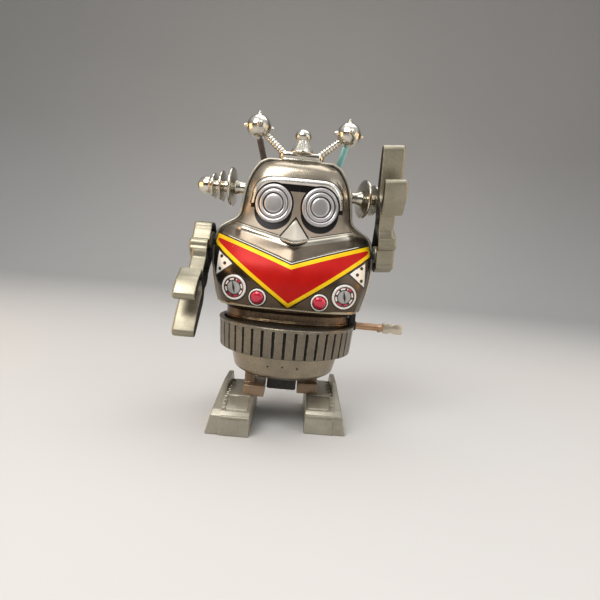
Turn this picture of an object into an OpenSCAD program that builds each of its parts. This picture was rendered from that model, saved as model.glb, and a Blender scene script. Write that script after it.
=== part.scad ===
// Tin wind-up walking robot, about 131 mm tall.
// Origin on the standing surface under the body, +Z up, the face looks along -Y.

/* [Body shells] */
// Height of the top of the head above the ground
head_top = 111.7; // [105:0.1:112]
// Height of the lower edge of the chest
chest_bottom = 50.8; // [50.8:0.1:52]
// Sheet thickness of the tin shells
tin = 0.5; // [0.4:0.05:0.6]
// Width of the back shell's rim that laps over the front shell
rim_lap = 1.6; // [1:0.1:2]

/* [Waist and pelvis] */
// Radius of the ribbed ring at its top
ring_r_top = 29.2; // [28.8:0.1:30]
// Radius of the ribbed ring at its bottom
ring_r_bottom = 28.3; // [28:0.1:29]
// Number of ribs round the ring
ring_ribs = 42; // [30:1:48]
// Radius of the pelvis cup at its top
pelvis_r = 23; // [22.5:0.1:24]

/* [Arms] */
// Height of the shoulder axis
shoulder_z = 76; // [75:0.5:77]
// Distance from the middle of the body to the inner face of an arm
arm_inner_x = 34.6; // [34.6:0.1:36]
// Width of the hand
hand_w = 8.6; // [8:0.1:9.4]
// How far the right arm leans in towards the head
arm_right_lean = 5; // [0:0.5:6]
// Angle of the left arm at rest, measured forwards from hanging down
arm_left_rest = 42; // [30:1:120]
// Angle of the right arm at rest, measured forwards from hanging down
arm_right_rest = 150; // [30:1:150]

/* [Walking gear] */
// Crank radius, half of the step that a foot makes
crank_r = 4.5; // [3.5:0.1:4.8]
// Height of the crankshaft
crank_z = 32.5; // [32.5:0.1:33]
// Height of the winding arbor
arbor_z = 44.5; // [44.5:0.1:45]
// Tooth size (pitch diameter divided by the number of teeth)
tooth_m = 0.5; // [0.45:0.01:0.5]
// Radial running clearance of every turning shaft
run_gap = 0.05; // [0.03:0.01:0.08]

/* [Feet] */
// Length of a foot
foot_len = 37; // [34:1:38]
// Height of the toe's front face
toe_h = 8.7; // [7:0.1:10]
// Distance from the middle of the body to the outside of a foot
foot_outer_x = 28.5; // [28:0.1:30]

/* [Hidden] */
$fn = 48;
eps = 0.02;

plate_x = 8.1;            // middle of a motor plate
plate_t = 1;
plate_half_y = 15;
plate_z0 = 24.7;
pillar_y = 13;
pillar_zs = [30, 58.5];
plate_z1 = 61;
shaft_r = 1.5;
disc_x0 = 9;              // crank discs run just outside the motor plates
disc_t = 1.4;
disc_r = 6.3;
pin_r = 1.2;
leg_x0 = 11.3;
leg_t = 2.6;
leg_outer_x = 15.6;
block_x0 = 6.9;
pelvis_z0 = 22.7;
pelvis_z1 = 33;
cup_h = pelvis_z1 - pelvis_z0;
ring_z0 = pelvis_z1;
ring_z1 = 45;
cup_wall = 1.4;
cup_floor = 1.3;
cup_corner = 2.6;
floor_r = 18.2;           // flat part of the pelvis floor
great_teeth = 36;
pinion_teeth = 12;
governor_wheel_teeth = 24;
governor_pinion_teeth = 10;
great_x = -2.4;           // planes of the wheels along the shafts
governor_x = -6.4;
wheel_t = 1.1;
governor_y = 8;
governor_z = crank_z - sqrt(pow(tooth_m * 17 + 0.15, 2) - pow(governor_y, 2));
governor_angle = atan2(governor_z - crank_z, governor_y);
window = crank_r + shaft_r + 0.35;   // half-size of the window that clears the arbor all the way round
stem_end_x = 40.6;
collar_x = 14.4;          // retaining rings of the arbor, just outside the legs
stalk_half_y = 5;
base_t = 0.65;
deck_z1 = 44.2;
deck_t = 0.6;
axle_r = 2;
rod_z = 19.5;
rod_r = 1.5;

// Outline of the body, height against half-width, from the chest's lower edge to the head's top.
outline = [
    [50.8, 30.2], [56, 31.8], [62, 33.1], [68, 33.7], [74, 33.7], [79, 32.8], [82, 31.4],
    [84, 28.6], [86, 25.4], [88, 23.7], [92, 23], [99, 22], [104, 20.5], [108, 18.3],
    [110.4, 16.2], [111.7, 13.4]
];
// How far the front bulges ahead of the seam at each height.
front_depth = [
    [50.8, 19.6], [56, 21], [62, 21.8], [68, 20.8], [74, 17.4], [79, 13.8], [84, 11.2],
    [88, 10.2], [92, 9.8], [99, 9.6], [104, 9.2], [108, 8.2], [110.4, 6.6], [111.7, 4.4]
];
// How far the back bulges behind the seam at each height.
back_depth = [
    [50.8, 20.6], [56, 21.8], [62, 22.4], [68, 21.6], [74, 19.8], [79, 17.4], [84, 14.8],
    [88, 13.4], [92, 12.8], [99, 12.2], [104, 11.4], [108, 9.8], [110.4, 7.6], [111.7, 5]
];
shell_levels = [for (row = outline) row[0]];
section_steps = 22;
corner = 0.74;            // below 1 the section is squarer than an ellipse

function signed_pow(v, p) = (v < 0 ? -1 : 1) * pow(abs(v), p);
function section_point(a, w, d) = [-w * signed_pow(cos(a), corner), -d * pow(max(sin(a), 0), corner)];

// One skin of a half shell: rows of points from the bottom to the top and then onto the seam.
function skin(depth, inset, top) = concat(
    [for (z = shell_levels)
        let (w = lookup(z, outline) - inset, d = lookup(z, depth) - inset, h = min(z, top))
        [for (j = [0 : section_steps])
            let (p = section_point(180 * j / section_steps, w, d)) [p[0], p[1], h]]],
    [let (w = lookup(head_top, outline) - inset)
        [for (j = [0 : section_steps]) [-w * cos(180 * j / section_steps), 0, top]]]);

module half_shell(depth, inset, top) {
    rows = len(shell_levels) + 1;
    cols = section_steps + 1;
    outer = skin(depth, inset, top);
    inner = skin(depth, inset + tin, top - tin);
    points = concat([for (r = outer) for (p = r) p], [for (r = inner) for (p = r) p]);
    n = rows * cols;
    function at(i, j) = i * cols + j;
    skin_faces = [for (i = [0 : rows - 2]) for (j = [0 : cols - 2])
        each [[at(i, j), at(i + 1, j), at(i + 1, j + 1)], [at(i, j), at(i + 1, j + 1), at(i, j + 1)]]];
    lining = [for (f = skin_faces) [n + f[0], n + f[2], n + f[1]]];
    low_edge = [for (j = [0 : cols - 2])
        each [[at(0, j), at(0, j + 1), n + at(0, j + 1)], [at(0, j), n + at(0, j + 1), n + at(0, j)]]];
    high_edge = [for (j = [0 : cols - 2])
        each [[at(rows - 1, j), n + at(rows - 1, j + 1), at(rows - 1, j + 1)],
            [at(rows - 1, j), n + at(rows - 1, j), n + at(rows - 1, j + 1)]]];
    left_edge = [for (i = [0 : rows - 2])
        each [[at(i, 0), n + at(i, 0), n + at(i + 1, 0)], [at(i, 0), n + at(i + 1, 0), at(i + 1, 0)]]];
    right_edge = [for (i = [0 : rows - 2])
        each [[at(i, cols - 1), n + at(i + 1, cols - 1), n + at(i, cols - 1)],
            [at(i, cols - 1), at(i + 1, cols - 1), n + at(i + 1, cols - 1)]]];
    polyhedron(points, concat(skin_faces, lining, low_edge, high_edge, left_edge, right_edge));
}

module along_x(x0, y, z, len, r) {
    translate([x0, y, z]) rotate([0, 90, 0]) cylinder(h = len, r = r);
}

module shoulder_holes(r) {
    along_x(-40, 0, shoulder_z, 80, r);
}

module front_shell() {
    color([0.56, 0.54, 0.5]) difference() {
        translate([0, -0.25, 0]) half_shell(front_depth, tin + 0.2, head_top - tin - 0.2);
        shoulder_holes(3.3);
    }
}

module back_shell() {
    color([0.45, 0.43, 0.4]) difference() {
        translate([0, -rim_lap, 0]) mirror([0, 1, 0]) half_shell(back_depth, 0, head_top);
        shoulder_holes(3.3);
    }
}

collar_steps = 72;
function collar_ring(w, d) = [for (i = [0 : collar_steps - 1])
    let (a = 360 * i / collar_steps) [w * signed_pow(cos(a), 0.85), d * signed_pow(sin(a), 0.85)]];

// Dark band that closes the gap between the chest and the ribbed ring.
module chest_collar() {
    color([0.25, 0.2, 0.15]) difference() {
        translate([0, 0, deck_z1]) linear_extrude(chest_bottom - 0.3 - deck_z1) difference() {
            polygon(collar_ring(26.2, 17.6));
            polygon(collar_ring(25.4, 16.8));
        }
        along_x(20, 0, 48.4, 10, 3.6);
        along_x(20, 0, arbor_z, 10, 2.2);
    }
}

// Black plate inside the top of the ring, round the collar.
module waist_deck() {
    color([0.05, 0.05, 0.05]) difference() {
        translate([0, 0, deck_z1 - deck_t]) linear_extrude(deck_t) difference() {
            circle(r = ring_r_bottom - 2);
            polygon(collar_ring(25.4, 16.8));
        }
        translate([20, -2.4, deck_z1 - 2]) cube([10, 4.8, 3]);
    }
}

module ring_groove(a) {
    rotate([0, 0, a]) translate([ring_r_bottom - 0.75, -0.6, ring_z0 - eps])
        cube([3, 1.2, ring_z1 - ring_z0 - 0.9]);
}

module waist_ring() {
    color([0.42, 0.4, 0.36]) difference() {
        translate([0, 0, ring_z0])
            cylinder(h = ring_z1 - ring_z0, r1 = ring_r_bottom, r2 = ring_r_top, $fn = 96);
        translate([0, 0, ring_z0 + 1.2]) cylinder(h = ring_z1, r = ring_r_bottom - 1.9);
        translate([0, 0, ring_z0 - eps]) cylinder(h = 2, r = 21.9);
        for (i = [0 : ring_ribs - 1]) ring_groove(360 * (i + 0.5) / ring_ribs);
        along_x(20, 0, arbor_z, 12, 2.1);
    }
}

// Holes of the two screws that hold the motor, and of the two that hold the strap.
base_screw_y = 12;
yoke_screw_x = 4;
module base_screw_holes(z) {
    for (y = [-base_screw_y, base_screw_y]) translate([0, y, z - 2]) cylinder(h = 5, r = 1.05);
}

module yoke_screw_holes(z) {
    for (x = [-yoke_screw_x, yoke_screw_x]) translate([x, 0, z - 2]) cylinder(h = 5, r = 0.85);
}

// Slot in the pelvis floor, long enough for the leg's stroke.
module leg_slot(side) {
    translate([side * (leg_x0 + leg_outer_x) / 2, 0, pelvis_z0])
        cube([leg_outer_x - leg_x0 + 1, 2 * (stalk_half_y + crank_r + 0.35), 6], center = true);
}

module pelvis_cup() {
    color([0.62, 0.58, 0.48]) difference() {
        translate([0, 0, pelvis_z0]) rotate_extrude() difference() {
            union() {
                square([floor_r, cup_h]);
                translate([floor_r, cup_corner]) circle(r = cup_corner);
                polygon([[floor_r, cup_corner - 0.2], [floor_r + cup_corner, cup_corner],
                    [pelvis_r, cup_h], [floor_r, cup_h]]);
            }
            polygon([[-1, cup_floor], [floor_r + 0.7, cup_floor],
                [floor_r + cup_corner - cup_wall, cup_corner],
                [pelvis_r - cup_wall, cup_h + 0.1], [-1, cup_h + 0.1]]);
            translate([-30, -1]) square([30, cup_h + 2]);
        }
        for (s = [-1, 1]) leg_slot(s);
        base_screw_holes(pelvis_z0);
        yoke_screw_holes(pelvis_z0);
    }
}

// Crown: a long rounded base, a cone with a ball, and two struts with spiked balls.
ball_x = 18.9;
ball_z = 124.6;
crown_x = 6.2;            // middle of a round end of the base
strut_angle = atan2(ball_x - crown_x, ball_z - head_top - 2);
ball_r = 5;

module spiked_ball() {
    sphere(r = ball_r, $fn = 24);
    for (d = [[0, 0], [90, 0], [90, 90], [90, 180], [90, 270]])
        rotate([d[0], 0, d[1]]) translate([0, 0, ball_r - 0.7]) cylinder(h = 2.2, r1 = 1.2, r2 = 0.6);
}

module crown() {
    color([0.82, 0.83, 0.84]) union() {
        translate([0, 0, head_top + eps]) linear_extrude(3.2) hull() {
            for (s = [-1, 1]) translate([s * crown_x, 0]) circle(r = 3.2);
        }
        for (s = [-1, 1]) {
            translate([s * crown_x, 0, head_top + 2]) rotate([0, s * strut_angle, 0])
                cylinder(h = 12.6, r = 1.5);
            translate([s * ball_x, 0, ball_z]) rotate([0, 0, 11]) spiked_ball();
        }
        translate([0, 0, head_top + 2]) cylinder(h = 7.4, r1 = 5, r2 = 2.2);
        translate([0, 0, 122.2]) sphere(r = 3.2, $fn = 24);
    }
}

module ear_profile() {
    polygon([[0, 0], [3, 0], [2.3, 3.2], [3, 4.6], [8.1, 5], [8.3, 5.6], [8.1, 6.2], [2.6, 6.6], [2.5, 9],
        [6.4, 9.4], [6.6, 9.9], [6.4, 10.4], [2.6, 10.8], [2.5, 12.5], [5.2, 12.9], [5.4, 13.3], [5.2, 13.7],
        [2.8, 14.1], [3.6, 14.8], [3.9, 16.2], [3.7, 18], [2.6, 19.8], [1.2, 20.6], [0, 20.8]]);
}

// Each ear sweeps back from the head, the right one more than the left.
module ear(sweep) {
    color([0.82, 0.83, 0.84]) translate([22.35, 0.6, 99]) rotate([0, 90, sweep])
        rotate_extrude() ear_profile();
}

module ear_right() { ear(15); }
module ear_left() { mirror([1, 0, 0]) ear(4); }

// Flat tin stays behind the crown, from the corners of the head to behind the balls.
stay_y = 7.25;
stay_w = 2.7;
module stay_strip() {
    translate([14.6, 0, head_top - 5.2]) rotate([0, 16, 0]) {
        translate([-stay_w / 2, stay_y, 0]) cube([stay_w, tin, 19]);
        translate([0, stay_y + tin / 2, 0.8]) rotate([90, 0, 0]) cylinder(h = 0.95, r = 0.8);
    }
}

module stay_left() {
    color([0.25, 0.25, 0.27]) mirror([1, 0, 0]) stay_strip();
}

module stay_right() {
    color([0.5, 0.76, 0.74]) stay_strip();
}

bush_x = 29.9;
module bush() {
    difference() {
        union() {
            along_x(bush_x, 0, shoulder_z, 4.3, 3.1);
            along_x(bush_x, 0, shoulder_z, 0.7, 4.2);
        }
        along_x(bush_x - 1, 0, shoulder_z, 6, axle_r + run_gap);
    }
}

module shoulder_bush_right() { color([0.1, 0.1, 0.1]) lean_right() bush(); }
module shoulder_bush_left() { color([0.1, 0.1, 0.1]) mirror([1, 0, 0]) bush(); }

// Arm outline in the arm's own plane: u runs from the shoulder to the hand, v to the front.
shoulder_r = 7.6;
shoulder_w = 7.4;
forearm_w = 6;
forearm_u = 12;
hand_u = 21.5;
module arm_outline(inset) {
    circle(r = shoulder_r - inset);
    translate([9.5, 1.6]) circle(r = 6 - inset);
    polygon([[0, shoulder_r - inset], [11, 5.4 - inset], [hand_u, 4.8 - inset], [hand_u, 6.6 - inset],
        [30, 8.1 - inset], [30, inset - 7.9], [hand_u, inset - 5.2], [11, inset - 5.2],
        [0, inset - shoulder_r]]);
    translate([18.5, -1.2]) circle(r = 5.4 - inset);
    // two half-round ribs across the front
    translate([8.3, 6.3]) circle(r = 2.4 - inset);
    translate([-1.5, 6.6]) circle(r = 1.8 - inset);
    translate([29.4, 0.2]) circle(r = 8.3 - inset);
}

module claw_mouth(grow) {
    translate([28.6, 1.2]) circle(r = 3.3 + grow);
    polygon([[28.6, 4.5 + grow], [48, 7.5], [48, -5.4], [38, -2.5 - grow], [28.6, -2.1 - grow]]);
}

module jaws(inset) {
    translate([29, 6.2]) circle(r = 2.4 - inset);
    polygon([[29, 3.8 + inset], [34, 4.6 + inset], [34, 7.8 - inset], [29, 8.6 - inset]]);
    translate([34, 6.1]) circle(r = 1.9 - inset);
    polygon([[28, inset - 7.9], [41, inset - 7.4], [43.4, -4.4], [28, -2 - inset]]);
    translate([43, -5.6]) circle(r = 2.1 - inset);
}

module hand_outline(inset) {
    difference() {
        arm_outline(inset);
        claw_mouth(inset);
    }
    jaws(inset);
}

// Part of the arm's outline between two distances from the shoulder, given a thickness.
module arm_slab(u0, u1, w, inset) {
    linear_extrude(w) intersection() {
        hand_outline(inset);
        translate([u0, -12]) square([u1 - u0, 24]);
    }
}

arm_wall = 1.3;
arm_face = 1.4;
module arm_hollow() {
    arm_slab(-10, forearm_u - arm_wall, shoulder_w - arm_face, arm_wall);
    arm_slab(forearm_u - arm_wall - eps, hand_u + arm_wall + eps, forearm_w - arm_face, arm_wall);
    arm_slab(hand_u + arm_wall, 48, hand_w - arm_face, arm_wall);
}

// The arm is a hollow moulding, open on the side that faces the body.
module arm_body() {
    difference() {
        union() {
            arm_slab(-10, forearm_u + eps, shoulder_w, 0);
            arm_slab(forearm_u, hand_u + eps, forearm_w, 0);
            arm_slab(hand_u, 48, hand_w, 0);
        }
        difference() {
            translate([0, 0, -eps]) arm_hollow();
            cylinder(h = shoulder_w, r = 3.6);
        }
        translate([0, 0, -1]) cylinder(h = shoulder_w - arm_face + 1, r = axle_r);
    }
}

// Turns the arm's plane so that u points down at angle 0 and forwards at 90.
module place_arm(angle) {
    translate([arm_inner_x, 0, shoulder_z]) rotate([-angle, 0, 0]) rotate([90, 0, 90])
        rotate([0, 0, -90]) mirror([0, 1, 0]) children();
}

module arm_axle() {
    along_x(27.6, 0, shoulder_z, arm_inner_x + shoulder_w - arm_face - 27.7, axle_r - 0.001);
}

// The right arm, its axle and its bush all lean in a little.
module lean_right() {
    translate([arm_inner_x, 0, shoulder_z]) rotate([0, -arm_right_lean, 0])
        translate([-arm_inner_x, 0, -shoulder_z]) children();
}

module arm_washer_disc() {
    difference() {
        along_x(28.6, 0, shoulder_z, 1.2, 4.2);
        along_x(28, 0, shoulder_z, 3, axle_r);
    }
}

module arm_right() {
    // the same moulding as the left arm, turned round, so its short jaw faces back when it hangs
    color([0.62, 0.6, 0.52]) lean_right() place_arm(arm_right_rest) mirror([0, 1, 0]) arm_body();
}

module arm_left() { color([0.62, 0.6, 0.52]) mirror([1, 0, 0]) place_arm(arm_left_rest) arm_body(); }
module arm_axle_right() { color("silver") lean_right() arm_axle(); }
module arm_axle_left() { color("silver") mirror([1, 0, 0]) arm_axle(); }
module arm_washer_right() { color("silver") lean_right() arm_washer_disc(); }
module arm_washer_left() { color("silver") mirror([1, 0, 0]) arm_washer_disc(); }

// A wheel whose plane is square to X, its teeth a little thin so that they never bind.
module toothed_wheel(teeth, bore, phase, width = wheel_t) {
    pitch_r = tooth_m * teeth / 2;
    step = 360 / teeth;
    linear_extrude(width) difference() {
        polygon([for (i = [0 : teeth - 1]) for (k = [[-0.3, -1.1], [-0.2, 0.7], [0.2, 0.7], [0.3, -1.1]])
            let (a = phase + step * (i + k[0] * 0.82), r = pitch_r + k[1] * tooth_m)
            [r * cos(a), r * sin(a)]]);
        circle(r = bore);
    }
}

module on_x(x, y, z) {
    translate([x, y, z]) rotate([90, 0, 90]) children();
}

module motor_plate() {
    difference() {
        translate([-plate_t / 2, -plate_half_y, plate_z0])
            cube([plate_t, 2 * plate_half_y, plate_z1 - plate_z0]);
        along_x(-1, 0, crank_z, 2, shaft_r + run_gap);
        along_x(-1, 0, arbor_z, 2, shaft_r + run_gap);
        along_x(-1, governor_y, governor_z, 2, 0.8 + run_gap);
        for (y = [-pillar_y, pillar_y]) for (z = pillar_zs) along_x(-1, y, z, 2, 1.3);
    }
}

module motor_plate_left() { color([0.6, 0.6, 0.58]) translate([-plate_x, 0, 0]) motor_plate(); }
module motor_plate_right() { color([0.6, 0.6, 0.58]) translate([plate_x, 0, 0]) motor_plate(); }

module motor_pillars() {
    color([0.7, 0.7, 0.68]) for (y = [-pillar_y, pillar_y]) for (z = pillar_zs)
        along_x(-plate_x + plate_t / 2, y, z, 2 * plate_x - plate_t, 1.8);
}

// Cheese-head screws through the plates into the pillars.
module pillar_screws() {
    color([0.75, 0.74, 0.7]) for (s = [0, 1]) mirror([s, 0, 0])
        for (y = [-pillar_y, pillar_y]) for (z = pillar_zs) difference() {
            union() {
                along_x(plate_x - plate_t / 2, y, z, plate_t, 1.3);
                along_x(plate_x + plate_t / 2, y, z, 1, 2.2);
            }
            translate([plate_x + plate_t / 2 + 0.9, y, z]) cube([0.8, 6, 0.5], center = true);
        }
}

// The winding arbor runs through both motor plates and the windows of both legs.
module winding_stem() {
    color([0.75, 0.58, 0.42]) union() {
        along_x(-collar_x - 1.4, 0, arbor_z, stem_end_x + collar_x + 1.4, shaft_r);
        along_x(stem_end_x - 0.4, 0, arbor_z, 1.6, 1.9);
    }
}

module arbor_collars() {
    color("silver") for (x = [-collar_x - 0.8, collar_x]) difference() {
        along_x(x, 0, arbor_z, 0.8, 2.7);
        along_x(x - 1, 0, arbor_z, 3, shaft_r);
    }
}

// Flattened tab on the end of the stem, where the winding key goes on.
module key_tab() {
    color([0.85, 0.8, 0.7]) difference() {
        translate([41.85, -0.55, arbor_z - 2.3]) cube([8.9, 1.1, 4.6]);
        for (s = [-1, 1]) translate([45.6, 1, arbor_z + s * 2.6]) rotate([90, 0, 0]) cylinder(h = 2, r = 0.9);
    }
}

ratchet_teeth = 12;
ratchet_r = 5.6;
module ratchet_wheel() {
    color([0.72, 0.66, 0.5]) on_x(-5, 0, arbor_z) linear_extrude(1) difference() {
        polygon([for (i = [0 : ratchet_teeth - 1]) for (k = [[0, ratchet_r], [0.05, ratchet_r - 1.3]])
            let (a = 360 * (i + k[0]) / ratchet_teeth) [k[1] * cos(a), k[1] * sin(a)]]);
        circle(r = shaft_r);
    }
}

click_y = 9.4;
click_z = 49.6;
module click() {
    color([0.6, 0.6, 0.62]) {
        on_x(-5, click_y, click_z) linear_extrude(1) difference() {
            union() {
                circle(r = 1.8);
                polygon([[0.4, 1.7], [-4.75, -1.25], [-4.85, -1.56], [-4, -2.3], [0.4, -1.7]]);
            }
            circle(r = 0.9);
        }
        along_x(-plate_x + plate_t / 2, click_y, click_z, 5, 0.9);
    }
}

module click_spring() {
    color([0.7, 0.7, 0.72]) on_x(-4.9, 0, 0) linear_extrude(0.8) {
        translate([click_y - 0.2, click_z + 1.85]) square([0.4, 5.4]);
        translate([click_y - 0.2, click_z + 6.85]) square([2.6, 0.4]);
    }
}

// Flat spiral mainspring round the winding arbor, its outer end hooked on a pillar.
spring_turns = 6;
spring_steps = 20;
spring_t = 0.35;
function spring_r(t) = 1.55 + 8.2 * t / (spring_turns * spring_steps);
function spring_point(t, off) =
    let (a = 360 * t / spring_steps, r = spring_r(t) + off) [r * cos(a), r * sin(a)];

module mainspring() {
    last = spring_turns * spring_steps;
    color([0.35, 0.38, 0.45]) on_x(1, 0, arbor_z) linear_extrude(5)
        polygon(concat([for (t = [0 : last]) spring_point(t, 0)],
            [for (t = [last : -1 : 0]) spring_point(t, spring_t)]));
}

module winding_bush() {
    color([0.12, 0.12, 0.12]) difference() {
        union() {
            along_x(26.6, 0, arbor_z, 3.4, 2.05);
            translate([27, -4, 47]) cube([2.2, 8, 3.4]);
            translate([26.6, -2, ring_z1 + eps]) cube([2.8, 4, 2.4]);
        }
        along_x(26, 0, arbor_z, 6, shaft_r + run_gap);
    }
}

module great_wheel() {
    color([0.8, 0.68, 0.32]) on_x(great_x, 0, arbor_z) difference() {
        toothed_wheel(great_teeth, shaft_r + run_gap, 5);
        for (a = [0 : 72 : 359]) rotate([0, 0, a]) translate([5, 0, -1]) cylinder(h = 4, r = 1.7);
    }
}

module crankshaft() {
    color("silver") along_x(-disc_x0 - disc_t, 0, crank_z, 2 * (disc_x0 + disc_t), shaft_r);
}

module crank_pinion() {
    color([0.8, 0.68, 0.32]) on_x(great_x - 0.2, 0, crank_z)
        toothed_wheel(pinion_teeth, shaft_r, 0, 1.5);
}

module governor_wheel() {
    color([0.8, 0.68, 0.32]) on_x(governor_x, 0, crank_z)
        toothed_wheel(governor_wheel_teeth, shaft_r, governor_angle);
}

module crank_disc() {
    difference() {
        along_x(disc_x0, 0, crank_z, disc_t, disc_r);
        along_x(disc_x0 - 1, 0, crank_z, 4, shaft_r);
        along_x(disc_x0 - 1, crank_r, crank_z, 4, pin_r);
    }
}

module crank_disc_right() { color([0.65, 0.65, 0.62]) crank_disc(); }
module crank_disc_left() { color([0.65, 0.65, 0.62]) rotate([0, 0, 180]) crank_disc(); }

module crank_pin() {
    along_x(disc_x0, crank_r, crank_z, leg_x0 + leg_t + 1.2 - disc_x0, pin_r);
}

module crank_pin_right() { color("silver") crank_pin(); }
module crank_pin_left() { color("silver") rotate([0, 0, 180]) crank_pin(); }

module leg_clip() {
    difference() {
        along_x(leg_x0 + leg_t + 0.35, crank_r, crank_z, 0.6, 2.3);
        along_x(leg_x0 + leg_t, crank_r, crank_z, 2, pin_r);
    }
}

module leg_clip_right() { color([0.4, 0.4, 0.4]) leg_clip(); }
module leg_clip_left() { color([0.4, 0.4, 0.4]) rotate([0, 0, 180]) leg_clip(); }

module governor_arbor() {
    color("silver") along_x(-plate_x - plate_t / 2, governor_y, governor_z, 2 * plate_x + plate_t, 0.8);
}

module governor_pinion() {
    color([0.8, 0.68, 0.32]) on_x(governor_x, governor_y, governor_z)
        toothed_wheel(governor_pinion_teeth, 0.8, governor_angle + 180 + 180 / governor_pinion_teeth);
}

module governor_rotor() {
    color([0.55, 0.5, 0.4]) on_x(2, governor_y, governor_z) linear_extrude(2) difference() {
        union() {
            circle(r = 1.5);
            square([5.4, 1.4], center = true);
        }
        circle(r = 0.8);
    }
}

// Leg: a plate with a window hangs on the crank pin, and a stalk below it ends in a block on the foot.
block_z0 = 13.4;
block_z1 = 17.9;
module leg() {
    difference() {
        union() {
            translate([leg_x0, -7.9, 30.6]) cube([leg_t, 15.8, 22.8]);
            translate([leg_x0, -stalk_half_y, 20]) cube([leg_t, 2 * stalk_half_y, 11]);
            translate([leg_x0, -stalk_half_y, block_z0])
                cube([leg_outer_x - leg_x0, 2 * stalk_half_y, 15.6]);
            translate([block_x0, -9.4, block_z0]) cube([leg_outer_x - block_x0, 14.4, block_z1 - block_z0]);
        }
        along_x(leg_x0 - 1, 0, crank_z, 6, pin_r + run_gap);
        translate([leg_x0 - 1, -window, arbor_z - window]) cube([6, 2 * window, 2 * window]);
    }
}

module at_pin(side) {
    translate([0, side * crank_r, 0]) children();
}

module leg_right() { color([0.5, 0.44, 0.36]) at_pin(1) leg(); }
module leg_left() { color([0.5, 0.44, 0.36]) mirror([1, 0, 0]) at_pin(-1) leg(); }

// Foot: a sloping toe and step on the inside, a taller side wall on the outside.
toe_y = -20.5;
foot_inner_x = 11;
wall_x = 22.4;
module foot() {
    heel_y = toe_y + foot_len;
    difference() {
        union() {
            translate([foot_inner_x, 0, 0]) rotate([90, 0, 90]) linear_extrude(wall_x - foot_inner_x + eps)
                polygon([[toe_y, 0], [heel_y, 0], [heel_y, 10], [heel_y - 3, 13.3], [-11.5, 13.3],
                    [toe_y + 1, toe_h]]);
            translate([wall_x, 0, 0]) rotate([90, 0, 90]) linear_extrude(foot_outer_x - wall_x)
                polygon([[toe_y + 0.6, 0], [heel_y, 0], [heel_y, 13], [heel_y - 4, 17.4], [-2, 17.4],
                    [toe_y + 3, 9.6]]);
        }
        translate([foot_outer_x + 1.6, -30, 0]) rotate([0, -13, 0]) cube([12, 60, 40]);
        for (y = [-4, 4]) translate([13.6, y, -1]) cylinder(h = 12, r = 1.6);
        for (y = [-4, 4]) translate([13.6, y, 5]) cylinder(h = 12, r = 0.8);
    }
}

module foot_right() { color([0.66, 0.65, 0.58]) at_pin(1) foot(); }
module foot_left() { color([0.66, 0.65, 0.58]) mirror([1, 0, 0]) at_pin(-1) foot(); }

module foot_screws() {
    for (y = [-4, 4]) translate([13.6, y, 0]) {
        translate([0, 0, 9.6]) cylinder(h = 1.4, r = 1.5);
        translate([0, 0, 9.6]) cylinder(h = 3.8, r = 0.8);
    }
}

module foot_screws_right() { color("silver") at_pin(1) foot_screws(); }
module foot_screws_left() { color("silver") mirror([1, 0, 0]) at_pin(-1) foot_screws(); }

// Floor plate of the motor, screwed to the pelvis from below.
module motor_base() {
    color([0.6, 0.6, 0.58]) difference() {
        translate([-plate_x - plate_t / 2, -plate_half_y, plate_z0 - base_t])
            cube([2 * plate_x + plate_t, 2 * plate_half_y, base_t]);
        base_screw_holes(plate_z0);
    }
}

// Strap under the pelvis that carries the cross rod between the legs.
module guide_yoke() {
    color([0.16, 0.16, 0.17]) difference() {
        union() {
            translate([-5.6, -3, pelvis_z0 - 1.02]) cube([11.2, 6, 1]);
            for (s = [-1, 1]) translate([s * 5.1 - 0.5, -3, rod_z - 2.6])
                cube([1, 6, pelvis_z0 - rod_z + 2.58]);
        }
        along_x(-8, 0, rod_z, 16, rod_r);
        yoke_screw_holes(pelvis_z0 - 1);
    }
}

module guide_rod() {
    color([0.2, 0.2, 0.22]) along_x(-6.4, 0, rod_z, 12.8, rod_r);
}

module pelvis_screws() {
    color("silver") for (y = [-base_screw_y, base_screw_y]) translate([0, y, 0]) {
        translate([0, 0, pelvis_z0 - 0.6]) cylinder(h = 0.58, r = 1.9);
        translate([0, 0, pelvis_z0 - 0.6]) cylinder(h = plate_z0 - pelvis_z0 + 0.6, r = 1.05);
    }
}

front_shell();
back_shell();
chest_collar();
waist_deck();
waist_ring();
pelvis_cup();
crown();
ear_left();
ear_right();
stay_left();
stay_right();
shoulder_bush_left();
shoulder_bush_right();
arm_left();
arm_axle_left();
arm_washer_left();
arm_right();
arm_axle_right();
arm_washer_right();
motor_plate_left();
motor_plate_right();
motor_pillars();
pillar_screws();
winding_stem();
key_tab();
ratchet_wheel();
click();
click_spring();
mainspring();
winding_bush();
great_wheel();
crankshaft();
crank_pinion();
governor_wheel();
crank_disc_left();
crank_disc_right();
crank_pin_left();
crank_pin_right();
leg_clip_left();
leg_clip_right();
governor_arbor();
governor_pinion();
governor_rotor();
leg_left();
leg_right();
foot_left();
foot_right();
foot_screws_left();
foot_screws_right();
arbor_collars();
motor_base();
guide_yoke();
guide_rod();
pelvis_screws();
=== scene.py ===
import math
import bpy
import bmesh
from mathutils import Vector, Matrix


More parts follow.
